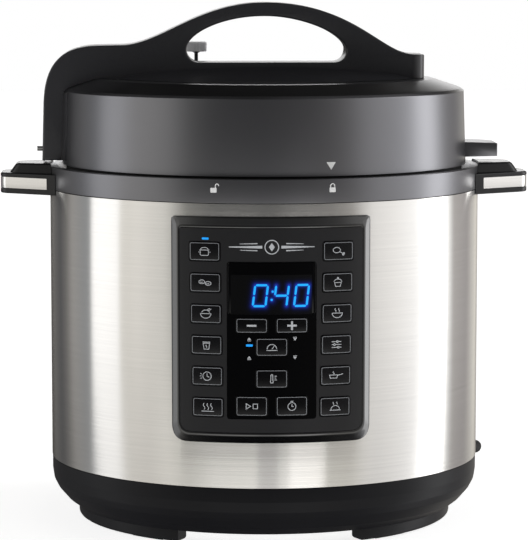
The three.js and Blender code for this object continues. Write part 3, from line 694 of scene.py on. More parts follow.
def make_shell():
    outer, low, high = SHELL["outer"], SHELL["low"], SHELL["high"]
    inner = outer - SHELL["wall"]
    shell = lathe("steel_shell", soften([(inner, low), (outer, low), (outer, high), (inner, high)], 0.3, True, 2), 256)
    opening = extruded("opening", [rounded_box(112, 128, 4, 0, 142)], [(0, -160), (0, -110)], front)
    finished(cut(shell, opening), "base", "shell_steel", "outer_shell", sharp=25)


def make_collar():
    profile = soften([(144, 222.1, 0.4), (144, 237.1, 0.4), (139, 237.1, 0.8), (134.5, 229.5, 1.0), (134.5, 228, 0.8),
                      (115.4, 228, 0.3), (115.4, 225.5, 0.3), (140, 225.5, 0.4), (140, 222.1, 0.4)], 0.4, True, 5)
    finished(lathe("collar", profile, 256), "base", "grey_satin", "top_collar", sharp=40)


make_shell()
make_collar()

# ---------------------------------------------------------------- base
SCREWS, SCREW_RING = (60, 180, 300), 105
FEET = (40, 140, 220, 320)


def make_base():
    profile = soften([(98, 9.8, 0.3), (112.3, 9.8, 0.2), (112.3, 8.3, 0.3), (127.2, 8.3, 2.2), (134.0, 13.3, 5),
                      (140.0, 20.2, 5), (142.7, 25.4, 5), (143.7, 32, 4), (143.7, 40.9, 0.5), (141.2, 40.9, 0.3),
                      (141.2, 32, 2), (137, 21.5, 3), (127, 12.3, 2), (98, 12.3, 0.3)], 0.5, True, 5)
    base = lathe("base_bowl", profile, 240)
    rails = []
    for start in (28, 208):
        outline = sector(114.5, 125.9, start, start + 124, 1.5)
        rails.append(extruded("rail", [outline], edge_levels(0.5, 9.4, 0, 4, low_edge=2.2)))
    base = united(base, *rails)
    for angle in SCREWS:
        base = united(base, disc(5, 9.9, 20, *spot(SCREW_RING, angle), 32))
    for angle in FEET:
        base = cut(base, extruded("pocket", [sector(117.2, 123.8, angle - 6.2, angle + 6.2, 2)], [(0, -1), (0, 2.7)]))
    for angle in SCREWS:
        base = cut(base, disc(1.9, 5, 18, *spot(SCREW_RING, angle), 24))
    hole = shifted(disc(4.6, 120, 160, segments=32), lambda x, y, z: (x, -z, y + 27.5 * MM))
    base = cut(base, turned(hole, 122))  # where the cord leaves
    finished(base, "base", "base_plastic", "base_housing", sharp=28)
    for i, angle in enumerate(FEET):
        pad = extruded(f"foot_rubber_{i + 1}", [sector(117.5, 123.5, angle - 6, angle + 6, 1)],
                       edge_levels(0, 2.4, 0, 2, low_edge=0.5))
        finished(pad, "base", "rubber", f"foot_pad_{i + 1}")
    rim = [spot(112, k * 3) for k in range(120)]
    vents = [rounded_box(70, 4, 1.9, 0, row * 11) for row in range(-2, 3)]
    holes = [arc(*spot(SCREW_RING, angle), 1.9, 1.9, 0, 330, 11) for angle in SCREWS]
    plate = extruded("underside_plate", [rim, *vents, *holes], edge_levels(8.3, 9.5, 0.2, 1))
    finished(plate, "base", "aluminium", "bottom_plate")
    profile = soften([(0, 6.3), (1.4, 6.3, 0.1), (1.6, 5.7, 0.2), (3.0, 5.7, 0.6), (3.6, 6.6, 0.3), (3.6, 8, 0.1),
                      (1.6, 8, 0.1), (1.6, 17.4, 0.4), (0, 17.4)], 0.2, False)
    for i, angle in enumerate(SCREWS):
        screw = lathe(f"screw_{i + 1}", profile, 32, spot(SCREW_RING, angle))
        finished(screw, "base", "small_steel", f"bottom_screw_{i + 1}")


make_base()

# ---------------------------------------------------------------- side handles
HANDLE_CORNERS = [(130, -43.4), (177, -13.2), (177, 13.2), (130, 43.4)]
BAND = {"low": 222.0, "high": 229.5, "thick": 1.2, "start": 145.2}
# the raised top of the handle: its outline at the foot and at the crown, and how far it has narrowed at each height
FOOT = [(136, -27), (172, -13.5), (172, 13.5), (136, 27)]
CROWN = [(143, -18.5), (164, -11.5), (164, 11.5), (143, 18.5)]
NARROWING = [(0, 230.6), (0.19, 232.6), (0.58, 236.9), (0.65, 237.6), (0.74, 238.1), (0.85, 238.4), (1, 238.5)]


def handle_outline(distance, steps=8):
    corners = inset(HANDLE_CORNERS, distance)
    radii = [0, max(11 - distance, 0.6), max(11 - distance, 0.6), 0]
    return soften([(*c, r) for c, r in zip(corners, radii)], 1, True, steps)


def beyond_start(margin):
    """The space outside the steel band's start."""
    return block((BAND["start"] - margin, -60, 200), (190, 60, 250))


def side_handle():
    plate = extruded("plate", [handle_outline(0)], edge_levels(218.5, 232.3, 1.3, 4, low_edge=1.0))
    rings = []
    for share, high in NARROWING:
        corners = [Vector(foot).lerp(Vector(crown), share) for foot, crown in zip(FOOT, CROWN)]
        radii = (0.8, 8 - 3 * share, 8 - 3 * share, 0.8)
        outline = soften([(*corner, r) for corner, r in zip(corners, radii)], 1, True, 10)
        rings.append([(x, y, high) for x, y in outline])
    handle = united(plate, loft("mound", rings))
    gap = 0.3
    loops = [handle_outline(-6), handle_outline(BAND["thick"] + gap)]
    groove = extruded("groove", loops, [(0, BAND["low"] - gap), (0, BAND["high"] + gap)])
    groove = combined(groove, "INTERSECT", beyond_start(gap))
    return cut(handle, groove, disc(CLEAR_OF_SHELL, 200, 260, segments=192))


def handle_band(name):
    loops = [handle_outline(0.15, 12), handle_outline(BAND["thick"], 12)]
    strip = extruded(name, loops, edge_levels(BAND["low"], BAND["high"], 0.35, 2))
    return combined(strip, "INTERSECT", beyond_start(0))


for name, degrees in (("right", 0), ("left", 180)):
    part = side_handle()
    part.name = f"grip_{name}"
    finished(turned(part, degrees), "base", "handle_plastic", f"handle_{name}", look="handle_dark", sharp=34)
    band = handle_band(f"grip_band_{name}")
    finished(turned(band, degrees), "base", "shell_steel", f"handle_band_{name}")

# ---------------------------------------------------------------- control panel
FACE_R = 148.0


def on_panel(_height):
    return FACE_R


def arc_length(x):
    """Along the panel's face, to where it is x from the middle."""
    return FACE_R * math.asin(x / FACE_R)


def at_angle(degrees):
    return FACE_R * math.radians(degrees)


def on_face(name, loops, levels):
    """A layer of the panel, drawn as (arc length, height) and raised outwards through its levels."""
    return extruded(name, loops, levels, front, on_panel)


PANEL_CORNERS = [(-arc_length(64), 70.5, 11), (arc_length(64), 70.5, 11), (arc_length(64.2), 213.8, 2.4),
                 (-arc_length(64.2), 213.8, 2.4)]
LENS = {"half": arc_length(27), "low": 153.2, "high": 185.2}
INLAY = {"half": at_angle(11.0), "low": 86.2, "high": 185.9}

# every key by name: [degrees from the front, height of its middle, its own height]
INLAY_KEYS = {"minus": (-4.9, 145.7, 9.6), "plus": (4.9, 145.7, 9.6), "pressure": (0.0, 132.1, 11.6),
              "temperature": (0.0, 112.0, 11.8), "start_stop": (-4.9, 94.6, 12.7), "delay": (4.9, 94.6, 12.7)}
KEYS = {}
for row in range(6):
    tilt = 16.5 + (15.72 - 16.5) * row / 5
    for side, sign in (("left", -1), ("right", 1)):
        KEYS[f"{side}_{row + 1}"] = (sign * tilt, 192.1 - 19.72 * row, 12.0)
KEYS.update(INLAY_KEYS)
KEY_WIDTH = 20.0


def panel_outline(distance, step=2.6):
    corners = inset([c[:2] for c in PANEL_CORNERS], distance)
    radii = [max(c[2] - 0.45 * distance, 1.2) for c in PANEL_CORNERS]
    return resample(soften([(*c, r) for c, r in zip(corners, radii)], 1, True, 9), step)


def ring_loft(name, outlines):
    """A closed skin through outlines of the same corner layout, each given as (points, standing out)."""
    rings, verts, faces = [], [], []
    for points, out in outlines:
        rings.append(range(len(verts), len(verts) + len(points)))
        verts += [front(*p, out) for p in points]
    for low, high in zip(rings, rings[1:] + rings[:1]):
        faces += walls(low, high)
    return wrapped(name, verts, faces, on_panel)


def key_hole(name, margin):
    angle, z, height = KEYS[name]
    return rounded_box(KEY_WIDTH + 2 * margin, height + 2 * margin, 1.6 + margin, at_angle(angle), z, 6)


def lens_outline(margin, radius):
    low, high = LENS["low"], LENS["high"]
    return rounded_box(2 * (LENS["half"] + margin), high - low + 2 * margin, radius, 0, (high + low) / 2)


def even_outline(distance, count=240):
    """The panel's outline in equal steps along its length from the same corner, so that rings match."""
    points = panel_outline(distance, 0.8)
    lengths = [0.0]
    for a, b in zip(points, points[1:] + points[:1]):
        lengths.append(lengths[-1] + (b - a).length)
    out, j = [], 0
    for i in range(count):
        want = lengths[-1] * i / count
        while lengths[j + 1] < want:
            j += 1
        share = (want - lengths[j]) / (lengths[j + 1] - lengths[j])
        out.append(points[j].lerp(points[(j + 1) % len(points)], share))
    return out


def make_panel():
    # a sloping rim, then the rounded step round the flat face
    section = [(0.25, -3.65), (0.0, -3.3), (0.0, -2.95), (0.3, -2.68), (1.2, -2.22), (2.6, -1.5), (4.0, -0.78),
               (4.7, -0.4), (5.2, -0.2), (5.7, -0.1), (6.2, -0.08), (6.5, -0.18), (6.8, -0.18),
               (7.0, -0.55), (7.0, -3.65)]
    rim = ring_loft("panel_rim", [(even_outline(distance), out) for distance, out in section])
    finished(rim, "base", "gloss_black", "control_bezel", look="gloss_rim", sharp=24)

    keys = [key_hole(name, 0.28) for name in KEYS]
    lens = lens_outline(0.3, 1.4)
    face = on_face("panel_face", [panel_outline(7.0), *keys, lens],
                   [(0.0, -2.2), (0.0, -0.25), (0.08, -0.1), (0.22, 0.0)])
    finished(face, "base", "gloss_black", sharp=30)
    back = on_face("panel_back", [panel_outline(3.0)], [(0, -3.6), (0, -2.45)])
    finished(back, "base", "gloss_black", look="key_plastic")

    centre = (INLAY["low"] + INLAY["high"]) / 2
    outline = rounded_box(2 * INLAY["half"], INLAY["high"] - INLAY["low"], 2.2, 0, centre)
    holes = [key_hole(name, 0.34) for name in sorted(INLAY_KEYS)] + [inset(facing_in(lens, True), -0.15)]
    inlay = on_face("panel_inlay", [outline] + holes, [(0, 0.005), (0, 0.1), (0.08, 0.15)])
    finished(inlay, "base", "gloss_black", look="gloss_inlay", sharp=30)

    window = on_face("clock_window", [lens_outline(0, 1.2)], [(0, -2.8), (0, -0.5), (0.1, -0.34), (0.25, -0.3)])
    finished(window, "base", "display_lens", "display_window", sharp=30)


make_panel()


# ---------------------------------------------------------------- printed marks
def ribbon(points, width, closed=False):
    """Outline loops of a stroke of even width along 2-D points."""
    points = [Vector(p) for p in points]
    count = len(points)
    left, right = [], []
    for i, here in enumerate(points):
        before = here - points[i - 1] if i or closed else points[1] - here
        after = points[(i + 1) % count] - here if i < count - 1 or closed else here - points[i - 1]
        reach = mitre(before, after, 0.5) * width / 2
        left.append(here + reach)
        right.append(here - reach)
    return [left, right] if closed else [left + right[::-1]]


def printed(name, loops_list, low, high, wrap, x=0.0, z=0.0):
    """Raised ink: several closed shapes, each a list of outline and holes, moved to (x, z) and bent round the body."""
    verts, faces = [], []
    for loops in loops_list:
        loops = [[Vector(p) + Vector((x, z)) for p in loop] for loop in loops]
        loops.sort(key=lambda loop: -abs(turning(loop)))  # the outline before its holes
        loops = [facing_in(loop, i == 0) for i, loop in enumerate(loops)]
        start, size = len(verts), sum(len(loop) for loop in loops)
        for height in (low, high):
            verts += [front(*p, height) for loop in loops for p in loop]
        triangles = tessellate_polygon([[Vector((*p, 0)) for p in loop] for loop in loops])
        for layer in (0, size):
            faces += [[start + layer + i for i in triangle] for triangle in triangles]
        for loop in loops:
            end = start + len(loop)
            faces += walls(range(start, end), range(start + size, end + size))
            start = end
    return wrapped(name, verts, faces, wrap)


def strokes(*lines, width=0.42):
    """Each line is a list of points; one whose ends meet is closed."""
    shapes = []
    for line in lines:
        closed = (Vector(line[0]) - Vector(line[-1])).length < 1e-6
        shapes.append(ribbon(line[:-1] if closed else line, width, closed))
    return shapes


def wave(x, z, height, swing):
    return [(x + swing * math.sin(2 * math.pi * k / 10), z + height * k / 10) for k in range(11)]


BOWL = arc(0, 0.2, 3.4, 2.9, 180, 360, 18) + [(-3.4, 0.2)]
ICONS = {
    "left_1": strokes([(-3.2, 0.9), (3.2, 0.9)], [(-2.7, 0.5), (-2.7, -1.9), (-2.1, -2.5), (2.1, -2.5),
                                                  (2.7, -1.9), (2.7, 0.5)], arc(0, 1.3, 2.4, 1.2, 0, 180, 12),
                      [(-3.9, -0.4), (-3.2, -0.4)], [(3.2, -0.4), (3.9, -0.4)]),
    "left_2": strokes(arc(-2.1, 0.5, 1.9, 1.2, 0, 360, 20), arc(2.0, -0.4, 1.9, 1.2, 0, 360, 20),
                      arc(-2.3, 0.6, 0.9, 0.4, 200, 340, 6), arc(1.8, -0.3, 0.9, 0.4, 200, 340, 6)),
    "left_3": strokes(BOWL, arc(0, 0.6, 2.6, 1.9, 8, 172, 12), [(1.6, 1.9), (3.6, 3.2)], [(0.8, 2.5), (2.6, 3.6)]),
    "left_4": strokes([(-2.1, 1.2), (-1.6, -2.6), (1.6, -2.6), (2.1, 1.2), (-2.1, 1.2)], [(-2.5, 1.9), (2.5, 1.9)],
                      wave(0, -1.7, 1.8, 0.3)),
    "left_5": strokes(arc(0, 0, 2.7, 2.7, 0, 360, 28), [(0, 1.7), (0, 0), (1.4, -0.7)], [(-4.4, 1.6), (-3.4, 1.2)],
                      [(-4.6, 0), (-3.6, 0)], [(-4.4, -1.6), (-3.4, -1.2)]),
    "left_6": strokes(wave(-2.4, -1.6, 4, 0.55), wave(0, -1.6, 4, 0.55), wave(2.4, -1.6, 4, 0.55),
                      [(-4, -2.6), (4, -2.6)]),
    "right_1": strokes(arc(-1.2, 0.6, 2.4, 1.7, 0, 360, 22), [(0.8, -0.5), (3.0, -1.7)],
                       arc(3.5, -1.6, 0.5, 0.5, 0, 360, 10), arc(3.1, -2.3, 0.5, 0.5, 0, 360, 10)),
    "right_2": strokes([(-2.2, -0.2), (-1.6, -2.6), (1.6, -2.6), (2.2, -0.2), (-2.2, -0.2)],
                       arc(0, 0.2, 2.6, 1.8, 0, 180, 14), arc(0, 2.6, 0.5, 0.5, 0, 360, 10)),
    "right_3": strokes(BOWL, wave(-1.2, 1.0, 2.2, 0.35), wave(1.2, 1.0, 2.2, 0.35)),
    "right_4": strokes([(-3.2, 1.8), (-0.2, 1.8)], [(1.3, 1.8), (3.2, 1.8)], arc(0.5, 1.8, 0.6, 0.6, 0, 360, 12),
                       [(-3.2, 0), (-2.2, 0)], [(-0.6, 0), (3.2, 0)], arc(-1.4, 0, 0.6, 0.6, 0, 360, 12),
                       [(-3.2, -1.8), (0.4, -1.8)], [(2.0, -1.8), (3.2, -1.8)], arc(1.2, -1.8, 0.6, 0.6, 0, 360, 12)),
    "right_5": strokes([(-4.2, 0.4), (-3.6, -1.6), (0.6, -1.6), (1.2, 0.4), (-4.2, 0.4)], [(1.2, 0.1), (4.8, 0.9)],
                       wave(-1.5, 0.9, 1.7, 0.3)),
    "right_6": strokes([(-3.6, -2.3), (3.6, -2.3)], arc(0, -1.9, 2.8, 2.5, 0, 180, 16), wave(-1.2, 1.2, 1.7, 0.3),
                       wave(1.2, 1.2, 1.7, 0.3)),
    "minus": strokes([(-3, 0), (3, 0)], width=1.2),
    "plus": [[[(-3, -0.6), (-0.6, -0.6), (-0.6, -2.8), (0.6, -2.8), (0.6, -0.6), (3, -0.6), (3, 0.6), (0.6, 0.6),
               (0.6, 2.8), (-0.6, 2.8), (-0.6, 0.6), (-3, 0.6)]]],
    "pressure": strokes(arc(0, -1.2, 3.0, 3.0, 0, 180, 18), [(0, -1.2), (1.5, 0.7)], [(-3.4, -2.0), (3.4, -2.0)]),
    "temperature": strokes([(-0.6, -0.9), (-0.6, 2.4), (0, 2.9), (0.6, 2.4), (0.6, -0.9), (1.0, -1.7), (0.6, -2.5),
                            (-0.6, -2.5), (-1.0, -1.7), (-0.6, -0.9)], [(1.7, 1.8), (3.1, 1.8)],
                           [(1.7, 0.6), (2.7, 0.6)], [(1.7, -0.6), (3.1, -0.6)]),
    "start_stop": strokes([(-3.4, -1.7), (-0.7, 0), (-3.4, 1.7), (-3.4, -1.7)],
                          [(0.9, -1.5), (3.7, -1.5), (3.7, 1.5), (0.9, 1.5), (0.9, -1.5)]),
    "delay": strokes(arc(0, -0.2, 2.5, 2.5, 0, 360, 26), [(0, 1.3), (0, -0.2), (1.1, -0.2)], [(-0.9, 3.1), (0.9, 3.1)]),
}


def make_keys():
    for name, (angle, z, height) in KEYS.items():
        body, x = f"key_{name}", at_angle(angle)
        outline = resample(rounded_box(KEY_WIDTH, height, 1.6, x, z, 6), 3)
        cap = on_face(f"cap_{name}", [outline], [(0, -1.5), (0, 0.0), (0.08, 0.2), (0.25, 0.34), (0.55, 0.4)])
        look = "key_gloss" if name in INLAY_KEYS else "key_plastic"
        finished(cap, body, "key_plastic", f"button_{name}", look=look, sharp=40)
        line = resample(rounded_box(KEY_WIDTH - 1.5, height - 1.5, 1.2, 0, 0, 6), 3)
        frame_line = printed(f"outline_{name}", [ribbon(line, 0.34, True)], 0.37, 0.425, on_panel, x, z)
        finished(frame_line, body, "key_plastic", look="ink_line")
        symbol = printed(f"symbol_{name}", ICONS[name], 0.37, 0.43, on_panel, x, z)
        finished(symbol, body, "key_plastic", look="ink_grey")


make_keys()

# the seven bars of a digit, each from (x, z) to (x, z) in widths and half heights; below, the bars lit in each digit
SEGMENTS = {"a": (0, 1, 1, 1), "b": (1, 1, 1, 0), "c": (1, 0, 1, -1), "d": (0, -1, 1, -1), "e": (0, -1, 0, 0),
            "f": (0, 0, 0, 1), "g": (0, 0, 1, 0)}
DIGIT = {"width": 8.0, "height": 6.6, "bar": 1.35, "slant": 0.12}
CLOCK = [("abcdef", -7.2), ("fgbc", 6.0), ("abcdef", 18.8)]
CLOCK_Z = 164.6


def clock_shapes():
    shapes = []
    for lit, x in CLOCK:
        for name in lit:
            x0, z0, x1, z1 = SEGMENTS[name]
            a = Vector(((x0 - 0.5) * DIGIT["width"], z0 * DIGIT["height"]))
            b = Vector(((x1 - 0.5) * DIGIT["width"], z1 * DIGIT["height"]))
            along = (b - a).normalized()
            a, b = a + along * 0.25, b - along * 0.25
            along *= DIGIT["bar"] / 2
            side = Vector((-along.y, along.x))
            ends = [a, a + along + side, b - along + side, b, b - along - side, a + along - side]
            shapes.append([[(x + p.x + p.y * DIGIT["slant"], p.y) for p in ends]])
    for z in (2.6, -2.6):
        shapes.append([rounded_box(1.3, 1.3, 0.3, 0.2 + z * DIGIT["slant"], z, 2)])
    return shapes


def glow_at(here, shapes):
    """How strongly the lit shapes shine on a place near them, from 0 to 1."""
    total = 0.0
    for shape in shapes:
        if len(shape) == 6:  # a bar, from its first corner to its fourth
            a, b = shape[0], shape[3]
            t = max(0, min(1, (here - a).dot(b - a) / (b - a).length_squared))
            total = max(total, math.exp(-max((here - a.lerp(b, t)).length - 0.5, 0) / 0.75))
        else:  # a dot
            middle = sum(shape, Vector((0, 0))) / len(shape)
            half = max((p - middle).length for p in shape)
            total = max(total, math.exp(-max((here - middle).length - half * 0.85, 0) / 0.9))
    return total


def make_clock():
    """The digits, and their glow on the display round them."""
    clock = printed("clock_digits", clock_shapes(), -0.33, -0.27, on_panel, 0, CLOCK_Z)
    finished(clock, "base", "display_lens", look="light_digits")
    tree, shader, _ = insides(surface("light_halo", (0.0008, 0.0008, 0.0012), 0.06, grain=600, relief=0, uneven=0.02,
                                      Emission_Color=(0.03, 0.08, 0.9, 1)))
    glow = node(tree, "Attribute", {"attribute_name": "glow"}).outputs["Fac"]
    tree.links.new(calc(tree, "MULTIPLY", glow, 0.42), shader.inputs["Emission Strength"])
    step, half, verts, faces = 0.5, LENS["half"] - 1.2, [], []
    wide, tall = int(2 * half / step), int(26 / step)
    for j in range(tall + 1):
        verts += [(-half + i * step, -0.292, CLOCK_Z - 13 + j * step) for i in range(wide + 1)]
    for j in range(tall):
        for i in range(wide):
            k = j * (wide + 1) + i
            faces.append([k, k + 1, k + wide + 2, k + wide + 1])
    halo = wrapped("clock_glow", verts, faces, on_panel)
    lit = [[Vector(p) for p in shape[0]] for shape in clock_shapes()]
    attribute = halo.data.attributes.new("glow", "FLOAT", "POINT")
    for v, value in zip(halo.data.vertices, attribute.data):
        x = math.atan2(v.co.x, -(v.co.y - AXIS_Y)) * FACE_R
        value.value = glow_at(Vector((x, v.co.z / MM - CLOCK_Z)), lit)
    finished(halo, "base", "display_lens", look="light_halo")


def both_sides(*corners):
    """The shape of those corners, and its mirror image to the left and right."""
    return [[[(side * x, z) for x, z in corners]] for side in (-1, 1)]


def make_panel_marks():
    for name, angle, z, width, height in (("upper", -16.3, 200.2, 4.4, 1.3), ("lower", -5.45, 133.2, 4.2, 1.4)):
        led = printed(f"led_{name}", [[rounded_box(width, height, 0.5, 0, 0, 3)]], -0.05, 0.2, on_panel,
                      at_angle(angle), z)
        finished(led, "base", "key_plastic", look="light_led")
    levels = []
    for x, up in ((-14.2, 1), (14.6, -1)):
        for z in (137.2, 125.4):
            levels.append([[(x - 1.2, z - 0.5 * up), (x + 1.2, z - 0.5 * up), (x, z + 1.1 * up)]])
            levels.append([box_corners(2.4, 0.4, x, z - 1.1 * up)])
    finished(printed("level_marks", levels, 0.1, 0.18, on_panel), "base", "gloss_black", look="ink_grey")
    # a neutral ornament: tapering bars and a ringed lozenge
    ornament = both_sides((6, 0.9), (27, 0.25), (27, -0.25), (6, -0.9))
    ornament += [[[(0, 2.6), (1.9, 0), (0, -2.6), (-1.9, 0)]]] + strokes(arc(0, 0, 4.3, 4.3, 0, 360, 40), width=0.6)
    ornament += both_sides((9, 2.6), (20, 2.1), (20, 1.8), (9, 1.9))
    ornament += both_sides((9, -2.6), (20, -2.1), (20, -1.8), (9, -1.9))
    finished(printed("panel_ornament", ornament, -0.05, 0.04, on_panel, 0, 195.2), "base", "gloss_black",
             look="ink_grey")


def on_collar(_height):
    return SHELL["outer"]


LID_FOOT_R = 135.7


def on_lid(height):
    """The lid's wall leans in by 1.5 mm over its 45.5 mm. At height 0 it gives the radius that arc lengths go by."""
    return LID_FOOT_R - 1.5 * (height - 239) / 45.5 if height else LID_FOOT_R


def make_lock_marks():
    """A closed and an open padlock on the collar, and the lid's arrow, which points at one of them."""
    body = [[rounded_box(4.0, 3.0, 0.35, 0, -1.3, 2)]]
    closed = body + [ribbon([(-1.35, 0.1), (-1.35, 1.2)] + arc(0, 1.2, 1.35, 1.4, 180, 0, 10) + [(1.35, 0.1)], 0.55)]
    opened = body + [ribbon([(1.25, 0.1), (1.25, 1.2)] + arc(2.3, 1.5, 1.05, 1.15, 180, -10, 8), 0.6)]
    for name, shape, angle in (("closed", closed, 15.5), ("open", opened, -14.6)):
        lock = printed(f"lock_{name}", shape, -0.05, 0.05, on_collar, SHELL["outer"] * math.radians(angle), 231.6)
        finished(lock, "base", "grey_satin", look="ink_white")
    arrow = [[[(-3.1, 2.5), (0, -2.4), (3.1, 2.5)]]]
    arrow = printed("lid_arrow", arrow, -0.06, 0.06, on_lid, LID_FOOT_R * math.radians(16.3), 244.6)
    finished(arrow, "lid", "grey_satin", look="ink_white")


make_clock()
make_panel_marks()
make_lock_marks()

# ---------------------------------------------------------------- lid
VALVE, FLOAT = (-45, 62), (30, 62)
COVER = [(135.7, 238.1, 0.3), (134.1, 286.7, 1.0), (132.0, 288.5, 0.8), (129.7, 289.3, 0.8),
         (113, 294.8, 0.9), (60, 293.0, 8)]


def lid_holes(low, high, round_pipe):
    """For the bolt, the steam pipe and the float."""
    return disc(3.3, low, high), disc(round_pipe, low, high, *VALVE), disc(3.4, low, high, *FLOAT)


def bayonet_lugs(inner, outer, low, high, edge):
    outlines = [sector(inner, outer, k * 45 - 8, k * 45 + 8) for k in range(8)]
    return [extruded("lug", [outline], edge_levels(low, high, edge, 2)) for outline in outlines]


def make_lid_cover():
    inner = [(112.6, 292.1, 1), (128.2, 287, 1), (131.7, 283, 2), (133.3, 238.1, 0.2)]
    cover = lathe("lid_shell", soften([(0, 292.1), *inner, *COVER, (0, 293.0)], 0.5, False, 5), 256)
    tab = extruded("tab", [[(133.0, 242.3), (155.9, 242.8), (155.9, 251.4), (133.0, 252.3)]],
                   [(0, -18), (0, 18)], front)
    rounding = extruded("rounding", [soften([(120, -18, 0), (157.5, -18, 2), (157.5, 18, 12), (120, 18, 0)], 1, True,
                                            8)], [(0, 200), (0, 300)])
    tab = combined(tab, "INTERSECT", rounding)
    bevel = tab.modifiers.new("edge", "BEVEL")
    bevel.width, bevel.segments, bevel.limit_method, bevel.angle_limit = 0.7 * MM, 3, "ANGLE", math.radians(50)
    tab = cut(baked(tab), disc(134.9, 230, 260, segments=192))
    cover = united(cover, tab)
    finished(cut(cover, *lid_holes(280, 300, 4.5)), "lid", "grey_satin", "lid_cover", "lid_tab", sharp=30)


def make_lid_underside():
    lugs = bayonet_lugs(128.5, 131.9, 230.8, 233.3, 0.3)
    plate = lathe("lid_inner_plate", soften([(0, 243), (80, 243, 10), (100, 241.4, 12), (108, 243, 4),
                                             (131.2, 243, 1.2), (131.2, 230.5, 0.3), (132.7, 230.5, 0.3),
                                             (132.7, 245, 2.4), (0, 245)], 0.5, False, 5), 200)
    plate = united(plate, *lugs)
    finished(cut(plate, *lid_holes(230, 250, 3.3)), "lid", "inner_steel", "lid_plate", sharp=30)
    # painted shadow: a dark ring behind the gap between the lid and the collar, standing for the shade in that gap
    sleeve = lathe("gap_shadow_sleeve", [(132.72, 232), (133.1, 232), (133.1, 238.8), (132.72, 238.8)], 200)
    finished(sleeve, "lid", "rubber")
    seal = lathe("lid_seal", soften([(111, 238.4), (120.5, 238.4), (120.5, 242.6), (117.8, 242.6), (117.8, 240.2),
                                     (113.7, 240.2), (113.7, 242.6), (111, 242.6)], 0.7, True, 4), 200)
    finished(seal, "seal", "silicone", "sealing_ring", sharp=50)
    nozzle = lathe("valve_pipe", soften([(1.8, 240), (3, 240), (3, 245.3), (9, 245.3), (9, 247.3), (4.2, 248),
                                         (4.2, 295.6), (3, 296.4), (1.8, 296.4)], 0.3, True, 3), 40, VALVE)
    finished(nozzle, "lid", "small_steel", "steam_nozzle")
    shield = lathe("valve_guard", soften([(0, 236.5), (12.2, 236.5, 0.5), (13, 237.3, 0.5), (13, 242.7, 0.2),
                                          (12, 242.7, 0.2), (12, 237.5, 0.5), (0, 237.5)], 0.5, False, 3), 48, VALVE)
    slots = []
    for k in range(12):
        slot = extruded("slot", [rounded_box(1.6, 3.2, 0.7, 0, 240.2, 4)], [(0, -16), (0, -10)], front)
        slots.append(turned(slot, k * 30, (*VALVE, 0)))
    finished(cut(shield, *slots), "lid", "inner_steel", "valve_shield")
    pin = lathe("float_pin", soften([(0, 236.2), (5, 236.2), (5, 237.7), (3, 237.7), (3, 294),
                                     (2.4, 294.6), (0, 294.6)], 0.4, False, 3), 40, FLOAT)
    finished(pin, "float", "small_steel", "float_valve")
    bolt = lathe("lid_bolt_turned", soften([(0, 239.8), (2.6, 239.8, 0.2), (2.9, 239, 0.2), (7, 239), (8, 240),
                                            (8, 242.7), (3, 242.7), (3, 303), (0, 303)], 0.3, False, 3), 40)
    finished(bolt, "lid", "small_steel", "lid_bolt")


make_lid_cover()
make_lid_underside()


def make_lid_handle():
    outline = [Vector(p) for p in ((-148.6, 240.5), (-125, 240.5), (-125, 290), (107.2, 290), (107.2, 305.5))]
    outline += [p for p in soften([(107.2, 300), (107.2, 310.7, 1.8), (90, 310.8)], 5, False, 8)[1:-1]]
    outline += bezier((100.3, 310.8), (78, 311), (60, 345.4), (0, 345.4), 44)
    outline += bezier((0, 345.4), (-45, 345.4), (-70, 317.1), (-96, 317.1), 44)
    outline += [Vector((-109, 316.9))]
    outline += bezier((-109, 316.9), (-132, 316.9), (-147.3, 309), (-147.6, 276), 30)
    grip = [Vector((-44, 305.5)), Vector((46, 305.5))]
    grip += bezier((46, 305.5), (51.5, 305.5), (54.4, 309), (54.4, 314), 12)
    grip += bezier((54.4, 314), (54.4, 323), (27, 336.3), (0, 336.3), 26)
    grip += bezier((0, 336.3), (-30, 336.3), (-52.2, 324), (-52.2, 314.5), 26)
    grip += bezier((-52.2, 314.5), (-52.2, 309.5), (-48.5, 305.5), (-44, 305.5), 12)[:-1]
    arch = extruded("lid_arch", [outline, grip], edge_levels(-18, 18, 1.4, 4), front)
    plan_shape = soften([(-160, -18.2, 0), (107.2, -18.2, 11), (107.2, 18.2, 11), (-160, 18.2, 0)], 1, True, 10)
    arch = combined(arch, "INTERSECT", extruded("plan", [plan_shape], [(0, 200), (0, 400)]))
    rings = []
    for k in range(13):  # the oval foot under the arch, which spreads towards the lid
        z = 291.5 + 13.9 * k / 12
        fall = max(1 - (z - 293) / 12.5, 0)
        oval = arc(0, 0, 106.6 + 1.6 * fall**2, 16.6 + 38 * fall**2.2, 0, 360, 128)[:-1]
        rings.append([(x, y, z) for x, y in oval])
    handle = united(arch, loft("foot", rings))
    hook = extruded("hook", [[(-148.5, 243), (-147.6, 239.3), (-145.4, 243)]], [(0, -15), (0, 15)], front)
    # the lid's own shape, 0.3 mm larger, which the handle is cut to
    envelope = lathe("envelope", soften([(0, 200), (136, 200, 0), (136, 239, 0), (134.4, 286.9, 1.0),
                                         (132.2, 288.8, 0.8), (129.8, 289.6, 0.8), (113, 295.1, 0.9),
                                         (60, 293.3, 8), (0, 293.3)], 0.5, False, 5), 256)
    handle = united(handle, hook)
    handle = cut(handle, envelope, disc(3.3, 280, 303.3, segments=24))
    finished(handle, "lid", "handle_plastic", "lid_handle", sharp=26)


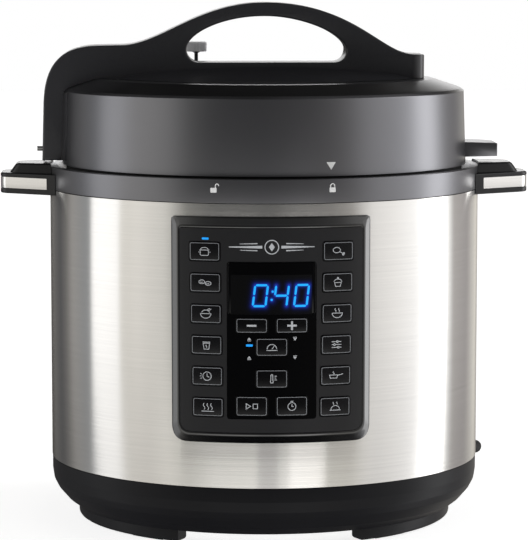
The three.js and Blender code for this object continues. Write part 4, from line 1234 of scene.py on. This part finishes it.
def make_arm_fittings():
    """The pin at the foot of the handle's arm, and the thin flange of the lid beside the arm."""
    pin = lathe("arm_pin_turned", soften([(0, -4.8), (1.6, -4.8), (1.6, 4.8), (0, 4.8)], 0.3, False, 3), 28)
    shifted(pin, lambda x, y, z: (z - 147.9 * MM, x, y + 247.4 * MM))
    finished(pin, "lid", "small_steel", "arm_pin")
    flange = lathe("arm_flange", soften([(134.5, 241.2), (137, 241.2), (135.5, 286), (133, 286)], 0.35, True, 3), 256)
    wedge = extruded("wedge", [[(0, 0), *[spot(170, 256.7 + 26.6 * k / 8) for k in range(9)]]], [(0, 200), (0, 300)])
    finished(combined(flange, "INTERSECT", wedge), "lid", "grey_satin")


make_lid_handle()
make_arm_fittings()


def ridges(radius, height, angle):
    """44 ridges round the cap's wall."""
    return 0.22 * math.cos(angle * 44) - 0.22 if radius > 7 and 310.6 < height < 316.6 else 0


def make_steam_valve():
    stem = lathe("stem", soften([(0, 286), (0.9, 286), (1.3, 290), (1.3, 309.4), (4, 310.6),
                                 (4, 313.5), (0, 313.5)], 0.3, False, 3), 32, VALVE)
    arm = extruded("arm", [rounded_box(6, 26, 2.9, VALVE[0], VALVE[1] + 12, 8)], edge_levels(311.2, 313.4, 0.6, 3))
    finished(united(stem, arm), "steam_valve", "handle_plastic", "steam_valve_lever")
    profile = soften([(0, 313.8, 0), (4.3, 313.8, 0), (4.3, 310.3, 0), (7.0, 310.3, 0.2), (7.3, 310.8, 0.1),
                      (7.3, 311.6, 0), (7.3, 315.8, 0), (7.3, 316.5, 0.1), (6.5, 317.1, 0.4), (0, 317.1)], 0.2, False,
                     3)
    cap = lathe("valve_cap", profile, 220, VALVE, ridges)
    slot_cut = block((VALVE[0] - 3.3, VALVE[1] + 2, 305), (VALVE[0] + 3.3, VALVE[1] + 20, 313.7))
    finished(cut(cap, slot_cut), "steam_valve", "valve_metal", "steam_valve_cap", sharp=30)


make_steam_valve()


# ---------------------------------------------------------------- inside: pot, housing, heater, sensor
def make_inside():
    pot = lathe("cooking_pot", soften([(0, 74.3), (97, 74.3, 8), (107, 78, 8), (111.5, 87, 8), (111.5, 236.3, 0.8),
                                       (118.5, 236.3, 0.5), (118.5, 237.8, 0.5), (110, 237.8, 1.5), (110, 87.4, 8),
                                       (106, 79.1, 8), (96.6, 75.8, 8), (0, 75.8)], 0.5, False, 6), 200)
    finished(pot, "pot", "pot_coating", "inner_pot", sharp=40)
    lugs = bayonet_lugs(122, 127.8, 233.8, 236, 0.4)
    housing = lathe("pot_well", soften([(60, 50), (112, 50, 2), (115, 53, 2), (115, 233.8, 1), (124, 233.8, 0.4),
                                        (124, 236, 0.4), (113.5, 236, 1.2), (113.5, 54, 2), (111, 51.5, 2), (60, 51.5)],
                                       0.4, True, 5), 200)
    finished(united(housing, *lugs), "base", "inner_steel", "pot_housing", sharp=30)
    heater = lathe("heater_casting", soften([(6, 54.5), (19.5, 54.5), (19.5, 60), (95, 60), (95, 72), (91, 74, 1.5),
                                             (17, 74, 0.5), (17, 57), (6, 57)], 0.6, True, 4), 160)
    finished(heater, "base", "aluminium", "heating_plate")
    sensor = lathe("sensor_button", soften([(0, 46), (5, 46), (5, 70.5), (16, 70.5), (16, 73.2),
                                            (15, 73.9, 0.8), (0, 73.9)], 0.4, False, 4), 80)
    finished(sensor, "sensor", "aluminium", "temperature_sensor")
    wire, low, high, coils, steps = 0.9, 57.3, 70.2, 3.5, 112
    coil = []
    for k in range(steps + 1):
        angle = 2 * math.pi * coils * k / steps
        coil.append((9 * math.cos(angle), 9 * math.sin(angle), low + wire + (high - low - 2 * wire) * k / steps))
    spring = finished(tube("sensor_coil", coil, lambda done, total: wire, 12), "base", "small_steel",
                      "sensor_spring", sharp=60)
    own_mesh(spring)


make_inside()


# ---------------------------------------------------------------- condensation cup and bracket
def make_collector():
    hood = extruded("cup_bracket", [soften([(-27, 130, 0), (27, 130, 0), (27, 168, 4), (-27, 168, 4)], 1, True, 6)],
                    edge_levels(200, 214, 1.5, 4, low_edge=0.5))
    channel = block((-25, 120, 202), (25, 180, 211))
    opening = block((-22.6, 120, 190), (22.6, 180, 203))
    finished(cut(hood, channel, opening, disc(CLEAR_OF_SHELL, 190, 230, segments=192)), "base", "base_plastic",
             "collector_bracket")
    near, far = 147.5, 171
    middle, depth = (far + near) / 2, far - near
    body = extruded("catch_cup", [rounded_box(44, depth, 5, 0, middle, 8)], edge_levels(160, 204.3, 0.4, 3, low_edge=3))
    rim = extruded("rim", [rounded_box(49.2, 20, 2, 0, 157.7, 5)], edge_levels(202.3, 204.3, 0.5, 3))
    hollow = extruded("hollow", [rounded_box(40.4, depth - 3.6, 3.4, 0, middle, 8)],
                      edge_levels(161.8, 210, 0, 3, low_edge=2.2))
    finished(cut(united(body, rim), hollow), "cup", "cup_plastic", "condensation_cup")


make_collector()

# ---------------------------------------------------------------- CAD nodes that stay
for name, slot_name in (("power_board", "circuit_board"), ("control_board", "circuit_board"),
                        ("display_module", "key_plastic")):
    mesh = NODES[name].data
    mesh.materials.clear()
    mesh.materials.append(LOOKS[slot_name])


# ---------------------------------------------------------------- floor and studio light
def make_floor():
    size = 12.0  # metres
    mesh = bpy.data.meshes.new("floor")
    mesh.from_pydata([(*corner, 0) for corner in box_corners(size, size)], [], [[0, 1, 2, 3]])
    floor = linked("floor", mesh)
    floor.location.z = -0.0002
    floor.visible_glossy = False
    mesh.materials.append(surface("floor", (0.82, 0.82, 0.82), 0.8, grain=30, relief=0, spread=0.005,
                                  Emission_Color=(1, 1, 1, 1), Emission_Strength=0.8, Specular_IOR_Level=0.0))


# Studio surroundings by direction from the front, in degrees, positive towards +X: [direction, red, green, blue] or
# [direction, grey]
PANELS_OF_LIGHT = [
    (-180, 0.05, 0.045, 0.04), (-166, 0.08, 0.075, 0.07), (-158, 0.16, 0.155, 0.15), (-143, 0.10, 0.10, 0.105),
    (-134, 0.19, 0.185, 0.18), (-126, 0.38, 0.37, 0.36), (-113, 0.31, 0.32, 0.33), (-108, 0.36, 0.37, 0.38),
    (-106, 1.45), (-86, 1.3), (-84, 0.8, 0.78, 0.73), (-73, 0.9, 0.88, 0.84), (-56, 0.72, 0.71, 0.68),
    (-44, 0.2, 0.2, 0.19), (-30, 0.1), (0, 0.09), (28, 0.15, 0.147, 0.145), (46, 0.33, 0.32, 0.31),
    (58, 0.9, 0.89, 0.88), (72, 1.05, 1.04, 1.03), (88, 1.2, 1.2, 1.21), (93, 1.5), (95, 3.3), (111, 3.3), (113, 1.2),
    (117, 0.95), (119, 0.54, 0.52, 0.51), (138, 0.40, 0.38, 0.38), (147, 0.6, 0.58, 0.55), (158, 0.75, 0.72, 0.66),
    (168, 0.3, 0.28, 0.26), (180, 0.05, 0.045, 0.04),
]
# The table in front, which only the shell's upright brushing gathers
TABLE_GLOW = [
    (-180, 0), (-126, 0.02), (-104, 0.05), (-70, 0.06, 0.055, 0.05), (-52, 0.5, 0.49, 0.46), (-30, 1.05, 1.04, 1.0),
    (-6, 1.15, 1.14, 1.1), (-5, 0.8, 0.79, 0.78), (5, 0.8, 0.79, 0.78), (7, 1.1, 1.1, 1.07), (12, 1.2, 1.19, 1.16),
    (13, 1.65, 1.63, 1.6), (31, 1.55, 1.53, 1.49), (33, 0.75, 0.74, 0.69), (50, 0.5, 0.49, 0.45), (62, 0.12),
    (100, 0.05), (125, 0.02), (180, 0),
]
BRIGHTEST = 8.0  # a colour ramp holds no more than 1, so the lights are held divided by this


def make_world():
    world = bpy.data.worlds.new("studio")
    bpy.context.scene.world = world
    world.use_nodes = True
    tree = world.node_tree
    tree.nodes.clear()
    direction = node(tree, "TexCoord").outputs["Generated"]
    split = node(tree, "SeparateXYZ", i0=direction)
    x, y, z = split.outputs
    turn = calc(tree, "ARCTAN2", x, calc(tree, "MULTIPLY", y, -1.0))
    share = calc(tree, "ADD", calc(tree, "MULTIPLY", turn, 0.5 / math.pi), 0.5)

    def scaled(vector, amount):
        return node(tree, "VectorMath", {"operation": "SCALE"}, i0=vector, Scale=amount).outputs[0]

    def by_direction(lights):
        ramp = node(tree, "ValToRGB")
        stops = ramp.color_ramp.elements
        while len(stops) < len(lights):
            stops.new(0.5)
        for stop, (degrees, *_) in zip(stops, lights):  # all places first, since the stops sort themselves
            stop.position = (degrees + 180) / 360
        for stop, (_, *colour) in zip(stops, lights):
            stop.color = [c / BRIGHTEST for c in (colour if len(colour) == 3 else colour * 3)] + [1]
        tree.links.new(share, ramp.inputs[0])
        return scaled(ramp.outputs[0], BRIGHTEST)

    def band(value, low, high):
        return node(tree, "MapRange", {"interpolation_type": "SMOOTHSTEP"}, i0=value, i1=low,
                    i2=high, i3=0.0, i4=1.0).outputs[0]

    def above(low, high):
        """Rises from 0 to 1 between two heights over the horizon, in degrees."""
        return band(z, math.sin(math.radians(low)), math.sin(math.radians(high)))

    def product(*factors):
        out = factors[0]
        for factor in factors[1:]:
            out = calc(tree, "MULTIPLY", out, factor)
        return out

    def without(factor):
        return calc(tree, "SUBTRACT", 1.0, factor)

    # the side panels fade out upwards, those behind much sooner, and below the horizon
    upwards = without(product(above(35, 62), 0.92))
    behind = without(product(above(9, 24), band(y, 0.3, 0.75), 0.97))
    downwards = calc(tree, "ADD", 0.08, product(above(-60, -28), 0.92))
    step_down = calc(tree, "ADD", 0.74, product(above(-15, -9), 0.26))
    side = scaled(by_direction(PANELS_OF_LIGHT), product(upwards, behind, downwards, step_down))
    table = scaled(by_direction(TABLE_GLOW), product(without(above(-22, -9)), above(-62, -44)))
    facing = band(calc(tree, "MULTIPLY", y, -1.0), -0.2, 0.35)
    top = product(above(26, 40), without(above(52, 66)), facing, 0.12)
    backdrop = product(above(1, 4), without(above(13, 25)), band(y, 0.92, 0.98), 1.9)
    extra = calc(tree, "ADD", top, backdrop)
    total = node(tree, "CombineXYZ", i0=extra, i1=extra, i2=extra).outputs[0]
    for layer in (side, table):
        total = vector_calc(tree, "ADD", total, layer)
    lit = node(tree, "Background", i0=total, Strength=1.0)
    seen = node(tree, "Background", i0=(1, 1, 1, 1), Strength=1.0)
    to_camera = node(tree, "LightPath").outputs["Is Camera Ray"]
    mixed = node(tree, "MixShader", i0=to_camera, i1=lit.outputs[0], i2=seen.outputs[0])
    output = node(tree, "OutputWorld")
    tree.links.new(mixed.outputs[0], output.inputs[0])


make_floor()
make_world()
bpy.context.scene.view_settings.view_transform = "Standard"
